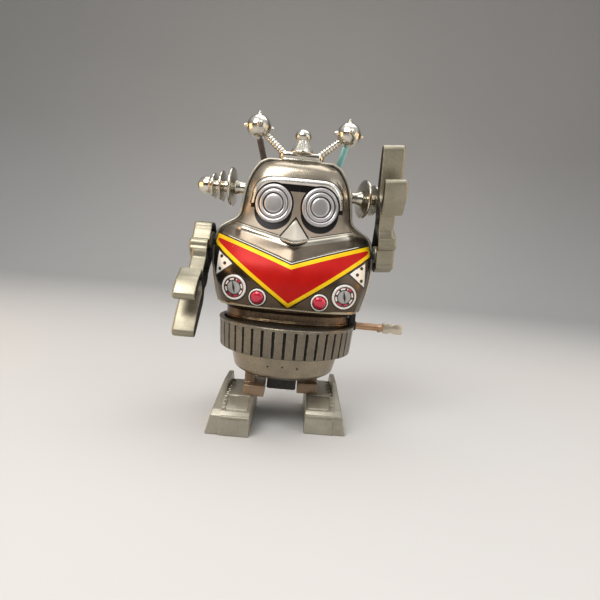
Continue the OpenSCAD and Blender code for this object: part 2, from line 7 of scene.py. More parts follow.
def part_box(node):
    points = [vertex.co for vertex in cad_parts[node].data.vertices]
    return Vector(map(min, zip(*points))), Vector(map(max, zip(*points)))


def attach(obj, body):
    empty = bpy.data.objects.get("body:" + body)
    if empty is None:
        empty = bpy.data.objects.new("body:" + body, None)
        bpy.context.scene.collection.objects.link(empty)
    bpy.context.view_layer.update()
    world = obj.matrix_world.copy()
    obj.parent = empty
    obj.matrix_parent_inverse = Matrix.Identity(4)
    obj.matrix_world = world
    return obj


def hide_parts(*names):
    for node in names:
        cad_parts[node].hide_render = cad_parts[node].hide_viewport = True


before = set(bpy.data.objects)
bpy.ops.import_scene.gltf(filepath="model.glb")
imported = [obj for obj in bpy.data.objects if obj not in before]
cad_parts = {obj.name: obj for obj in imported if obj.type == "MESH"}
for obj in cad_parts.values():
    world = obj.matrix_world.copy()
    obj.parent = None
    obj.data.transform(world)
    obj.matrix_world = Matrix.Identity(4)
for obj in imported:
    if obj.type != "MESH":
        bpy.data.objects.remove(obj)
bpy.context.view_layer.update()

mm = 0.001

# ---------- small tools ----------

def mixValue(a, b, t):
    return a + (b - a) * t


def easeTable(table, at):
    # smooth curve through a short list of (height, value) stations
    if at <= table[0][0]:
        return table[0][1]
    if at >= table[-1][0]:
        return table[-1][1]
    n = len(table)
    for i in range(n - 1):
        x0, y0 = table[i]
        x1, y1 = table[i + 1]
        if x0 <= at <= x1:
            before = table[max(i - 1, 0)]
            after = table[min(i + 2, n - 1)]
            m0 = (y1 - before[1]) / (x1 - before[0])
            m1 = (after[1] - y0) / (after[0] - x0)
            h = x1 - x0
            t = (at - x0) / h
            return ((2*t**3 - 3*t**2 + 1) * y0 + (t**3 - 2*t**2 + t) * h * m0
                    + (3*t**2 - 2*t**3) * y1 + (t**3 - t**2) * h * m1)


def step01(edge0, edge1, v):
    t = min(max((v - edge0) / (edge1 - edge0), 0.0), 1.0)
    return t * t * (3 - 2 * t)


def placeObject(name, data):
    obj = bpy.data.objects.new(name, data)
    bpy.context.scene.collection.objects.link(obj)
    return obj


def makePiece(name, verts, faces, mats, body, smooth=True, faceMats=None):
    mesh = bpy.data.meshes.new(name)
    mesh.from_pydata([Vector(v) * mm for v in verts], [], faces)
    for m in mats:
        mesh.materials.append(m)
    if faceMats:
        mesh.polygons.foreach_set("material_index", faceMats)
    mesh.polygons.foreach_set("use_smooth", [smooth] * len(mesh.polygons))
    mesh.validate()
    obj = placeObject(name, mesh)
    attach(obj, body)
    return obj


def fixNormals(obj):
    bm = bmesh.new()
    bm.from_mesh(obj.data)
    bmesh.ops.remove_doubles(bm, verts=bm.verts, dist=0.002 * mm)
    bmesh.ops.recalc_face_normals(bm, faces=bm.faces)
    bm.to_mesh(obj.data)
    bm.free()


def gridFaces(rows, cols, wrap=False):
    faces = []
    for i in range(rows - 1):
        for j in range(cols if wrap else cols - 1):
            k = (j + 1) % cols
            faces.append((i*cols + j, i*cols + k, (i+1)*cols + k, (i+1)*cols + j))
    return faces


def closedFaces(rows, cols):
    # a wrapped grid whose last row also joins the first
    last = (rows - 1) * cols
    return gridFaces(rows, cols, True) + [(last + j, last + (j + 1) % cols, (j + 1) % cols, j)
                                          for j in range(cols)]


def sharpByAngle(obj, degrees=40):
    # flat facets stay crisp while curved walls shade smooth
    mesh = obj.data
    bm = bmesh.new()
    bm.from_mesh(mesh)
    for e in bm.edges:
        if len(e.link_faces) == 2:
            e.smooth = e.calc_face_angle(0) < math.radians(degrees)
    bm.to_mesh(mesh)
    bm.free()


def filletArc(p, before, after, r, limit, steps):
    # the arc that rounds corner p, or p itself where the line is nearly straight
    a, b = before - p, after - p
    la, lb = a.length, b.length
    a.normalize()
    b.normalize()
    half = math.acos(max(-1, min(1, a.dot(b)))) / 2
    if r <= 0 or half > math.radians(88):
        return [p]
    cut = min(r / math.tan(half), la * limit, lb * limit)
    r = cut * math.tan(half)
    centre = p + (a + b).normalized() * (r / math.sin(half))
    s, e = p + a * cut - centre, p + b * cut - centre
    turn = math.atan2(s.x * e.y - s.y * e.x, s.dot(e))
    return [centre + Matrix.Rotation(turn * k / steps, 2) @ s for k in range(steps + 1)]


def roundedOutline(corners, steps=7):
    # corners are (u, v, radius) round a closed loop; each one becomes an arc
    at = [Vector(c[:2]) for c in corners]
    pts = []
    for i, c in enumerate(corners):
        pts += filletArc(at[i], at[i - 1], at[(i + 1) % len(at)], c[2], 0.49, steps)
    return pts


def roundedProfile(corners, steps=5):
    # corners are (height, radius, fillet) along an open profile
    at = [Vector(c[:2]) for c in corners]
    pts = [at[0]]
    for i in range(1, len(at) - 1):
        pts += filletArc(at[i], at[i - 1], at[i + 1], corners[i][2], 0.48, steps)
    return [tuple(p) for p in pts + [at[-1]]]


def insetLoop(loop, d):
    out = []
    n = len(loop)
    area = sum(loop[i - 1].x * loop[i].y - loop[i].x * loop[i - 1].y for i in range(n))
    side = 1 if area > 0 else -1
    for i in range(n):
        a = (loop[i] - loop[i - 1])
        b = (loop[(i + 1) % n] - loop[i])
        na = Vector((-a.y, a.x)).normalized() if a.length > 1e-9 else Vector((0, 0))
        nb = Vector((-b.y, b.x)).normalized() if b.length > 1e-9 else na
        m = (na + nb)
        if m.length < 1e-6:
            m = na
        m.normalize()
        k = max(m.dot(nb), 0.45)
        out.append(loop[i] + m * (side * d / k))
    return out


def insetLevels(loop, steps):
    # steps are (height, inset) for one outline
    return [(h, insetLoop(loop, d) if d else loop) for h, d in steps]


def stackLoops(name, levels, mats, body, turn, capStart=True, capEnd=True):
    # levels are (height, loop of 2D points); turn maps (u, v, height) to the frame
    n = len(levels[0][1])
    verts = [turn(p.x, p.y, h) for h, loop in levels for p in loop]
    faces = gridFaces(len(levels), n, wrap=True)
    if capStart:
        faces.append(tuple(reversed(range(n))))
    if capEnd:
        faces.append(tuple(range((len(levels) - 1) * n, len(levels) * n)))
    obj = makePiece(name, verts, faces, mats, body)
    fixNormals(obj)
    return obj


def lathePiece(name, profile, segments, mats, body, turn, wobble=None, closed=True):
    # profile is (height, radius) along the axis; wobble bends the round section
    verts = []
    for h, r in profile:
        for s in range(segments):
            a = 2 * math.pi * s / segments
            rr = r + (wobble(a, h) if wobble else 0)
            verts.append(turn(rr * math.cos(a), rr * math.sin(a), h))
    faces = gridFaces(len(profile), segments, wrap=True)
    if closed:
        faces.append(tuple(reversed(range(segments))))
        faces.append(tuple(range((len(profile) - 1) * segments, len(profile) * segments)))
    obj = makePiece(name, verts, faces, mats, body)
    fixNormals(obj)
    sharpByAngle(obj, 50)
    return obj


def joinPieces(name, objs):
    # merges loose shells of one moulding into a single object
    bm = bmesh.new()
    for o in objs:
        bm.from_mesh(o.data)
    mesh = bpy.data.meshes.new(name)
    bm.to_mesh(mesh)
    bm.free()
    for m in objs[0].data.materials:
        mesh.materials.append(m)
    joined = placeObject(name, mesh)
    for o in objs:
        old = o.data
        bpy.data.objects.remove(o)
        bpy.data.meshes.remove(old)
    return joined


# ---------- materials ----------

def addNode(tree, kind, wires=None, **settings):
    n = tree.nodes.new("ShaderNode" + kind)
    for key, value in settings.items():
        setattr(n, key, value)
    for key, value in (wires or {}).items():
        if isinstance(value, bpy.types.NodeSocket):
            tree.links.new(value, n.inputs[key])
        else:
            n.inputs[key].default_value = value
    return n


def calc(tree, op, a, b=0.0, c=None):
    wires = {0: a, 1: b}
    if c is not None:
        wires[2] = c
    return addNode(tree, "Math", wires, operation=op).outputs[0]


def mathTools(tree):
    # short names for the sums that masks are made of
    def tool(op):
        return lambda a, b=0.0: calc(tree, op, a, b)
    return [tool(op) for op in ("ADD", "SUBTRACT", "MULTIPLY", "MAXIMUM", "ABSOLUTE")]


def blendColour(tree, factor, a, b):
    return addNode(tree, "Mix", {0: factor, 6: a, 7: b}, data_type="RGBA").outputs[2]


def blendNumber(tree, factor, a, b):
    return addNode(tree, "Mix", {0: factor, 2: a, 3: b}, data_type="FLOAT").outputs[0]


def rampBetween(tree, value, low, high):
    return addNode(tree, "MapRange", {0: value, 1: low, 2: high, 3: 0.0, 4: 1.0}, clamp=True).outputs[0]


def rgba(r, g, b):
    # sRGB 0..255 to the scene's linear colours
    def lin(v):
        v /= 255
        return v / 12.92 if v <= 0.04045 else ((v + 0.055) / 1.055) ** 2.4
    return (lin(r), lin(g), lin(b), 1.0)


def startMaterial(name):
    mat = bpy.data.materials.new(name)
    mat.use_nodes = True
    tree = mat.node_tree
    shader = tree.nodes["Principled BSDF"]
    coords = addNode(tree, "TexCoord").outputs["Object"]
    return mat, tree, shader, coords


def noiseAt(tree, coords, scale, detail=4.0, rough=0.55, stretch=None):
    if stretch:
        coords = addNode(tree, "Mapping", {0: coords, 3: stretch}).outputs[0]
    return addNode(tree, "TexNoise", {"Vector": coords, "Scale": scale, "Detail": detail,
                                      "Roughness": rough}).outputs[0]


plainLook = {"metal": 0.0, "coat": 0.0, "roughSpread": 0.08, "dark": 0.8, "blotchScale": 90, "waveBump": 0.5,
             "fineScale": 1400, "fineBump": 0.25, "fleck": 0.15, "fleckColour": (225, 220, 205), "bump": 0.35,
             "edges": True, "edgeRadius": 0.35, "edgeWear": 0.6, "wornColour": (200, 196, 184),
             "wornRough": 0.3, "grime": 0.3, "grimeColour": (58, 48, 36), "scratch": 0.4, "scratchDepth": 0.2,
             "scratchScale": 700, "scratchStretch": (1, 1, 0.06)}


def wornSurface(name, changes):
    # one worn finish: blotches, flakes, rubbed edges, patchy grime, scratches
    look = {**plainLook, **changes}
    mat, tree, shader, coords = startMaterial(name)
    add, sub, mul = mathTools(tree)[:3]
    base = rgba(*look["colour"])
    blotch = noiseAt(tree, coords, look["blotchScale"], 5)
    fine = noiseAt(tree, coords, look["fineScale"], 3)
    scratch = noiseAt(tree, coords, look["scratchScale"], 2, 0.6, look["scratchStretch"])
    shade = rampBetween(tree, blotch, 0.32, 0.7)
    colour = blendColour(tree, shade, tuple(v * look["dark"] for v in base[:3]) + (1,), base)
    speck = rampBetween(tree, fine, 0.35, 0.75)
    colour = blendColour(tree, mul(speck, look["fleck"]), colour, rgba(*look["fleckColour"]))
    rough = blendNumber(tree, shade, look["rough"] + look["roughSpread"], look["rough"])
    if look["edges"]:
        geo = addNode(tree, "NewGeometry")
        rounded = addNode(tree, "Bevel", {0: look["edgeRadius"] * mm}, samples=4)
        facing = addNode(tree, "VectorMath", {0: rounded.outputs[0], 1: geo.outputs["Normal"]},
                         operation="DOT_PRODUCT").outputs["Value"]
        edge = rampBetween(tree, sub(1.0, facing), 0.015, 0.11)
        patchy = rampBetween(tree, noiseAt(tree, coords, 420, 4), 0.42, 0.62)
        worn = mul(edge, mul(patchy, look["edgeWear"]))
        colour = blendColour(tree, worn, colour, rgba(*look["wornColour"]))
        rough = blendNumber(tree, worn, rough, look["wornRough"])
    grime = rampBetween(tree, noiseAt(tree, coords, 55, 6, 0.65), 0.56, 0.78)
    colour = blendColour(tree, mul(grime, look["grime"]), colour, rgba(*look["grimeColour"]))
    lines = rampBetween(tree, scratch, 0.62, 0.72)
    rough = blendNumber(tree, mul(lines, look["scratch"]), rough, min(look["rough"] + 0.25, 0.9))
    tree.links.new(colour, shader.inputs["Base Color"])
    tree.links.new(rough, shader.inputs["Roughness"])
    shader.inputs["Metallic"].default_value = look["metal"]
    if look["coat"]:
        shader.inputs["Coat Weight"].default_value = look["coat"]
        shader.inputs["Coat Roughness"].default_value = 0.15
    height = add(mul(fine, look["fineBump"]), mul(blotch, look["waveBump"]))
    height = sub(height, mul(lines, look["scratchDepth"]))
    bump = addNode(tree, "Bump", {"Strength": look["bump"], "Distance": 0.1 * mm, "Height": height})
    if look["edges"]:
        tree.links.new(rounded.outputs[0], bump.inputs["Normal"])
    tree.links.new(bump.outputs[0], shader.inputs["Normal"])
    return mat


# shared by the plated plastics
plated = dict(metal=0.68, rough=0.34, roughSpread=0.1, fleck=0.2, dark=0.74, grime=0.42, bump=0.35,
              edgeWear=0.85, fineScale=2600)
# shared by the inks and the bare tin of the small details
printed = dict(rough=0.3, fleck=0.12, dark=0.8, grime=0.12, bump=0.15, edges=False)
finishes = {
    "chrome": dict(colour=(214, 208, 194), metal=1.0, rough=0.15, roughSpread=0.12, fleck=0.1, dark=0.66,
                   grime=0.5, grimeColour=(84, 70, 52), bump=0.3, waveBump=1.1, edgeWear=0.2,
                   wornColour=(196, 188, 166), blotchScale=210),
    "armPlastic": dict(plated, colour=(146, 139, 118), roughSpread=0.12, dark=0.72, edgeWear=0.75,
                       wornColour=(216, 211, 192)),
    "footPlastic": dict(plated, colour=(164, 159, 143), metal=0.64, roughSpread=0.12, bump=0.4,
                        wornColour=(234, 231, 218)),
    "ringPlastic": dict(plated, colour=(112, 103, 88), metal=0.74, rough=0.26, fleck=0.14, dark=0.7,
                        grime=0.4, wornColour=(196, 188, 164)),
    "pelvisPlastic": dict(plated, colour=(146, 134, 114), metal=0.78, rough=0.23, fleck=0.14, grime=0.32,
                          bump=0.32, edgeWear=0.6, wornColour=(204, 194, 168)),
    "legPlastic": dict(plated, colour=(144, 118, 92), fleck=0.16, dark=0.7, grime=0.4, edgeWear=0.8,
                       wornColour=(204, 188, 160)),
    # dark finish for the ring's groove floors and the arms' inner walls: painted shade in these recesses
    "hollow": dict(colour=(38, 35, 30), metal=0.2, rough=0.6, fleck=0.06, dark=0.6, grime=0.4, bump=0.3,
                   edges=False, grimeColour=(18, 16, 14)),
    "steel": dict(colour=(170, 170, 166), metal=1.0, rough=0.28, roughSpread=0.12, fleck=0.1, dark=0.75,
                  grime=0.35, bump=0.3, edgeWear=0.5, scratchStretch=(0.08, 1, 1)),
    "darkSteel": dict(colour=(52, 52, 56), metal=0.9, rough=0.36, fleck=0.08, dark=0.7, bump=0.3,
                      wornColour=(130, 128, 124)),
    "springSteel": dict(colour=(86, 94, 118), metal=1.0, rough=0.25, fleck=0.05, dark=0.7, grime=0.2,
                        bump=0.2, edgeWear=0.4),
    "brass": dict(colour=(206, 172, 96), metal=1.0, rough=0.27, fleck=0.08, dark=0.72, grime=0.35, bump=0.3,
                  edgeWear=0.5, wornColour=(232, 206, 140)),
    "stem": dict(colour=(196, 154, 118), metal=0.95, rough=0.33, roughSpread=0.14, fleck=0.16, dark=0.62,
                 grime=0.5, grimeColour=(96, 62, 38), bump=0.5, edgeWear=0.7, wornColour=(226, 208, 180),
                 scratchStretch=(0.08, 1, 1)),
    "tab": dict(colour=(206, 194, 172), metal=0.85, rough=0.34, fleck=0.16, dark=0.7, grime=0.4, bump=0.45,
                edgeWear=0.7, scratchStretch=(0.08, 1, 1)),
    "black": dict(colour=(20, 19, 18), metal=0.1, rough=0.5, fleck=0.04, dark=0.7, grime=0.25, bump=0.4,
                  grimeColour=(54, 48, 42), edgeWear=0.35, wornColour=(72, 68, 62)),
    "collarTin": dict(colour=(100, 78, 56), metal=0.88, rough=0.26, fleck=0.1, dark=0.55, grime=0.5,
                      grimeColour=(24, 18, 12), edgeWear=0.8, wornColour=(182, 156, 116)),
    "stayDark": dict(colour=(104, 92, 86), metal=0.6, rough=0.36, fleck=0.1, dark=0.7, bump=0.3,
                     edgeWear=0.9, wornColour=(170, 162, 150)),
    "stayTeal": dict(colour=(140, 196, 190), metal=0.35, rough=0.35, fleck=0.12, grime=0.35, bump=0.3,
                     edgeWear=0.9, wornColour=(200, 198, 188)),
    "brightTin": dict(printed, colour=(208, 204, 204), metal=0.8, rough=0.27, roughSpread=0.1, fleck=0.1,
                      dark=0.84, grime=0.22, bump=0.2, grimeColour=(110, 100, 88)),
    "rimTin": dict(printed, colour=(206, 199, 182), metal=0.7, roughSpread=0.12, dark=0.7, grime=0.45,
                   bump=0.3, grimeColour=(70, 58, 44)),
    "inkBlack": dict(printed, colour=(11, 10, 10), metal=0.1, rough=0.42, fleck=0.03, grime=0.1,
                     grimeColour=(70, 62, 52)),
    "inkWhite": dict(printed, colour=(232, 228, 220), metal=0.15, rough=0.32, fleck=0.05, dark=0.9,
                     grime=0.15, grimeColour=(150, 140, 120)),
    "inkGrey": dict(printed, colour=(172, 171, 170), metal=0.45, grime=0.2),
    "inkCrimson": dict(printed, colour=(206, 38, 66), metal=0.35, rough=0.2, fleck=0.05, dark=0.75,
                       fleckColour=(250, 150, 160), coat=0.5),
    "inkPink": dict(printed, colour=(214, 96, 112), metal=0.3, rough=0.28, fleck=0.06),
}
mats = {key: wornSurface(key, look) for key, look in finishes.items()}
print("finishes:", len(mats))


# ---------- body outline ----------

bodyShape = {
    "halfWidth": [(50.8, 30.2), (56, 31.8), (62, 33.1), (68, 33.7), (74, 33.7), (79, 32.8), (82, 31.4),
                  (84, 28.6), (86, 25.4), (88, 23.7), (92, 23), (99, 22), (104, 20.5), (108, 18.3),
                  (110.4, 16.2), (111.7, 13.4)],
    "frontDepth": [(50.8, 19.6), (56, 21), (62, 21.8), (68, 20.8), (74, 17.4), (79, 13.8), (84, 11.2),
                   (88, 10.2), (92, 9.8), (99, 9.6), (104, 9.2), (108, 8.2), (110.4, 6.6), (111.7, 4.4)],
    "backDepth": [(50.8, 20.6), (56, 21.8), (62, 22.4), (68, 21.6), (74, 19.8), (79, 17.4), (84, 14.8),
                  (88, 13.4), (92, 12.8), (99, 12.2), (104, 11.4), (108, 9.8), (110.4, 7.6), (111.7, 5)],
    "corner": 0.74, "bottom": 50.8, "top": 111.7, "tin": 0.5, "lap": 1.6,
}
exponent = 2 / bodyShape["corner"]


def sectionPoint(angle, w, d):
    c = math.cos(angle)
    s = max(math.sin(angle), 0.0)
    k = bodyShape["corner"]
    return math.copysign(abs(c) ** k, -c) * w, s ** k * d


def halfSize(z, depth, inset=0.0):
    return easeTable(bodyShape["halfWidth"], z) - inset, easeTable(bodyShape[depth], z) - inset


def frontSkin(x, z, inset=0.7):
    # depth of the plain front surface ahead of the seam at (x, z)
    w, d = halfSize(z, "frontDepth", inset)
    t = min(abs(x) / w, 0.9995)
    return d * (1 - t ** exponent) ** (1 / exponent)


# ---------- embossing of the face and chest ----------

face = {
    "eyeX": 9.55, "eyeZ": 92.9, "eyeRx": 7.6, "eyeRz": 8.05,
    "shadowZ": 90.0, "shadowR": 7.75,
    "archZ": 102.4, "archX": 10.9, "archR": 6.4, "archHalf": 1.2, "archLow": 92.9,
    "noseTop": 86.7, "noseLow": 76.6, "noseRise": 2.6, "noseHalf": 5.9, "noseSpread": 0.72, "noseOut": 4.2,
    "cheekX0": 5.9, "cheekZ0": 79.2, "cheekSlope": 0.235, "muzzleOut": 0.9, "lipOut": 0.4, "lipHalf": 0.9,
    "chevTop": 68.9, "chevTopSlope": 0.36, "chevTopCurve": 0.0011, "chevLow": 52.1, "chevLowSlope": 0.71,
    "chevTip": 33.0, "chevRound": 2.6, "chevBorder": 1.5, "chevEdge": 0.45, "paleLine": 0.68,
    "hemTop": 51.7, "hemOut": 0.35, "foldOut": 0.45, "foldHalf": 2.6, "browOut": 0.75,
}


def archDistance(x, z):
    # distance from the middle line of the brow ridge
    ax = abs(x)
    f = face
    if ax <= f["archX"]:
        return abs(z - f["archZ"]) if z > f["archZ"] - f["archR"] else 9
    cz = f["archZ"] - f["archR"]
    if z >= cz:
        return abs(math.hypot(ax - f["archX"], z - cz) - f["archR"])
    sideX = f["archX"] + f["archR"] + (cz - z) * 0.2
    d = abs(ax - sideX)
    if z < f["archLow"]:
        d = math.hypot(d, f["archLow"] - z)
    return d


def chevronDistance(x, z):
    ax = abs(x)
    f = face
    top = f["chevTop"] + f["chevTopSlope"] * ax - f["chevTopCurve"] * ax * ax
    up = (z - top) / math.hypot(1, f["chevTopSlope"])
    low = (f["chevLow"] + f["chevLowSlope"] * ax - z) / math.hypot(1, f["chevLowSlope"])
    return max(up, low, ax - f["chevTip"]), up, top


def noseHeight(ax, z):
    # two long facets that meet on a ridge, cut off by a curved underside
    f = face
    half = 0.45 + (f["noseTop"] - z) * f["noseSpread"]
    if z >= f["noseTop"] or ax >= half:
        return 0.0
    low = f["noseLow"] + f["noseRise"] * (ax / f["noseHalf"]) ** 2
    rise = (f["noseTop"] - z) / (f["noseTop"] - f["noseLow"])
    return f["noseOut"] * rise * (1 - ax / half) ** 0.85 * step01(0.0, 0.9, z - low)


def frontRelief(x, z):
    ax = abs(x)
    f = face
    h = f["browOut"] * (1 - step01(f["archHalf"] * 0.35, f["archHalf"] * 1.25, archDistance(x, z)))
    d, upper, top = chevronDistance(x, z)
    # the muzzle stands proud of the face, with a rolled lip along the cheek
    cheekZ = f["cheekZ0"] + f["cheekSlope"] * (ax - f["cheekX0"])
    cheek = z - cheekZ
    side = step01(24.5, 21.5, ax)
    fall = min(max((z - top) / (cheekZ - top), 0.0), 1.0)
    h += f["muzzleOut"] * fall * step01(0.8, -0.5, cheek) * side
    h += f["lipOut"] * math.exp(-((cheek + 0.6) / f["lipHalf"]) ** 2) * side
    h += noseHeight(ax, z)
    h += 0.4 * step01(0.5, -0.3, d)
    h += 0.3 * (1 - step01(0.1, 0.4, abs(upper - f["paleLine"]))) * step01(27.5, 25, ax)
    # turned hem at the bottom edge
    h += f["hemOut"] * step01(f["hemTop"] + 0.3, f["hemTop"] - 0.3, z)
    # soft vertical fold down the middle of the chest and muzzle
    h += f["foldOut"] * math.exp(-(ax / f["foldHalf"]) ** 2) * step01(78, 75, z) * step01(50, 56, z)
    return h


frontGrid = {"rows": 210, "cols": 300, "seam": -0.25, "edgeInset": 0.7}


def addSheet(obj):
    skin = obj.modifiers.new("sheet", "SOLIDIFY")
    skin.thickness = bodyShape["tin"] * mm
    skin.offset = -1


def buildFrontShell(mat):
    rows, cols, seam = frontGrid["rows"], frontGrid["cols"], frontGrid["seam"]
    inset = frontGrid["edgeInset"]
    z0, z1 = bodyShape["bottom"], bodyShape["top"] - inset
    verts = []
    for i in range(rows + 1):
        t = i / rows
        z = z0 + (z1 - z0) * t
        zz = min(z + inset * t ** 6, bodyShape["top"])
        w, d = halfSize(zz, "frontDepth", inset)
        for j in range(cols + 1):
            x, y = sectionPoint(math.pi * j / cols, w, d)
            verts.append((x, -y - frontRelief(x, z) * step01(0.0, 1.2, y) + seam, z))
    w, d = halfSize(bodyShape["top"], "frontDepth", inset)
    # the crown of the head closes back to the seam
    for k in (0.66, 0.33, 0.0):
        for j in range(cols + 1):
            x, y = sectionPoint(math.pi * j / cols, w, d)
            verts.append((x * mixValue(1, 0.97, 1 - k), -y * k + seam, z1 + 0.12 * (1 - k)))
    obj = makePiece("front_shell_tin", verts, gridFaces(rows + 4, cols + 1), [mat], "root")
    fixNormals(obj)
    addSheet(obj)
    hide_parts("front_shell")


backGrid = {"rows": 110, "cols": 160, "bandZ": 84.5, "bandOut": 0.35, "waistZ": 54.2, "waistOut": 0.3}


def buildBackShell(mat):
    b = backGrid
    z0, z1 = bodyShape["bottom"], bodyShape["top"]
    rings = [(z0 + (z1 - z0) * i / b["rows"], 1.0) for i in range(b["rows"] + 1)]
    verts = []
    for z, k in rings + [(z1, 0.6), (z1, 0.25), (z1, 0.0)]:
        w, d = halfSize(z, "backDepth")
        for j in range(b["cols"] + 1):
            x, y = sectionPoint(math.pi * j / b["cols"], w, d)
            # pressed band across the shoulders and one round the waist
            band = b["bandOut"] * (1 - step01(0.3, 1.1, abs(z - b["bandZ"] - 0.004 * x * x)))
            band += b["waistOut"] * (1 - step01(0.3, 0.9, abs(z - b["waistZ"])))
            verts.append((x, y * k + band * step01(0, 2, y) - bodyShape["lap"], z))
    obj = makePiece("back_shell_tin", verts, gridFaces(b["rows"] + 4, b["cols"] + 1), [mat], "root")
    fixNormals(obj)
    addSheet(obj)
    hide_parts("back_shell")


rim = {"beadOut": 0.66, "beadDeep": 0.9, "seamR": 0.17, "seamInset": 0.72, "seamAhead": 0.95}


def buildRim(name, mat, inset, ahead, rOut, rDeep):
    # a thin roll that follows the edge of the back shell
    z0, z1 = bodyShape["bottom"], bodyShape["top"]
    side = []
    for i in range(90):
        z = z0 + (z1 - z0) * (i / 89)
        side.append((easeTable(bodyShape["halfWidth"], z) - inset, z - inset * (i / 89) ** 8))
    path = [(-x, z) for x, z in side] + [(x, z) for x, z in reversed(side)]
    verts = []
    for i, (x, z) in enumerate(path):
        a = path[max(i - 1, 0)]
        b = path[min(i + 1, len(path) - 1)]
        t = Vector((b[0] - a[0], b[1] - a[1])).normalized()
        out = Vector((-t.y, t.x))
        for k in range(12):
            an = 2 * math.pi * k / 12
            verts.append((x + out.x * rOut * math.cos(an), -bodyShape["lap"] - ahead - rDeep * math.sin(an),
                          z + out.y * rOut * math.cos(an)))
    obj = makePiece(name, verts, gridFaces(len(path), 12, wrap=True), [mat], "root")
    fixNormals(obj)


# ---------- printed tin ----------

# the low tin tone is partly a darker ink and partly a painted reflection of the dark surroundings; the lip,
# nose and pale line tones are painted highlights
inks = {"tin": (160, 150, 134), "lowTinAndDarkReflection": (82, 70, 58), "tinShade": (112, 100, 84), "face": (142, 130, 115),
        "faceShade": (132, 120, 106), "muzzle": (104, 94, 82), "lipHighlight": (206, 200, 186), "hem": (198, 184, 156),
        "brow": (226, 222, 214), "noseHighlight": (176, 170, 158), "black": (16, 14, 14), "paleLineHighlight": (214, 211, 202),
        "yellow": (236, 196, 24), "yellowShade": (214, 170, 16), "red": (188, 25, 17),
        "redShade": (160, 16, 13), "rub": (205, 200, 188), "pit": (60, 48, 38)}


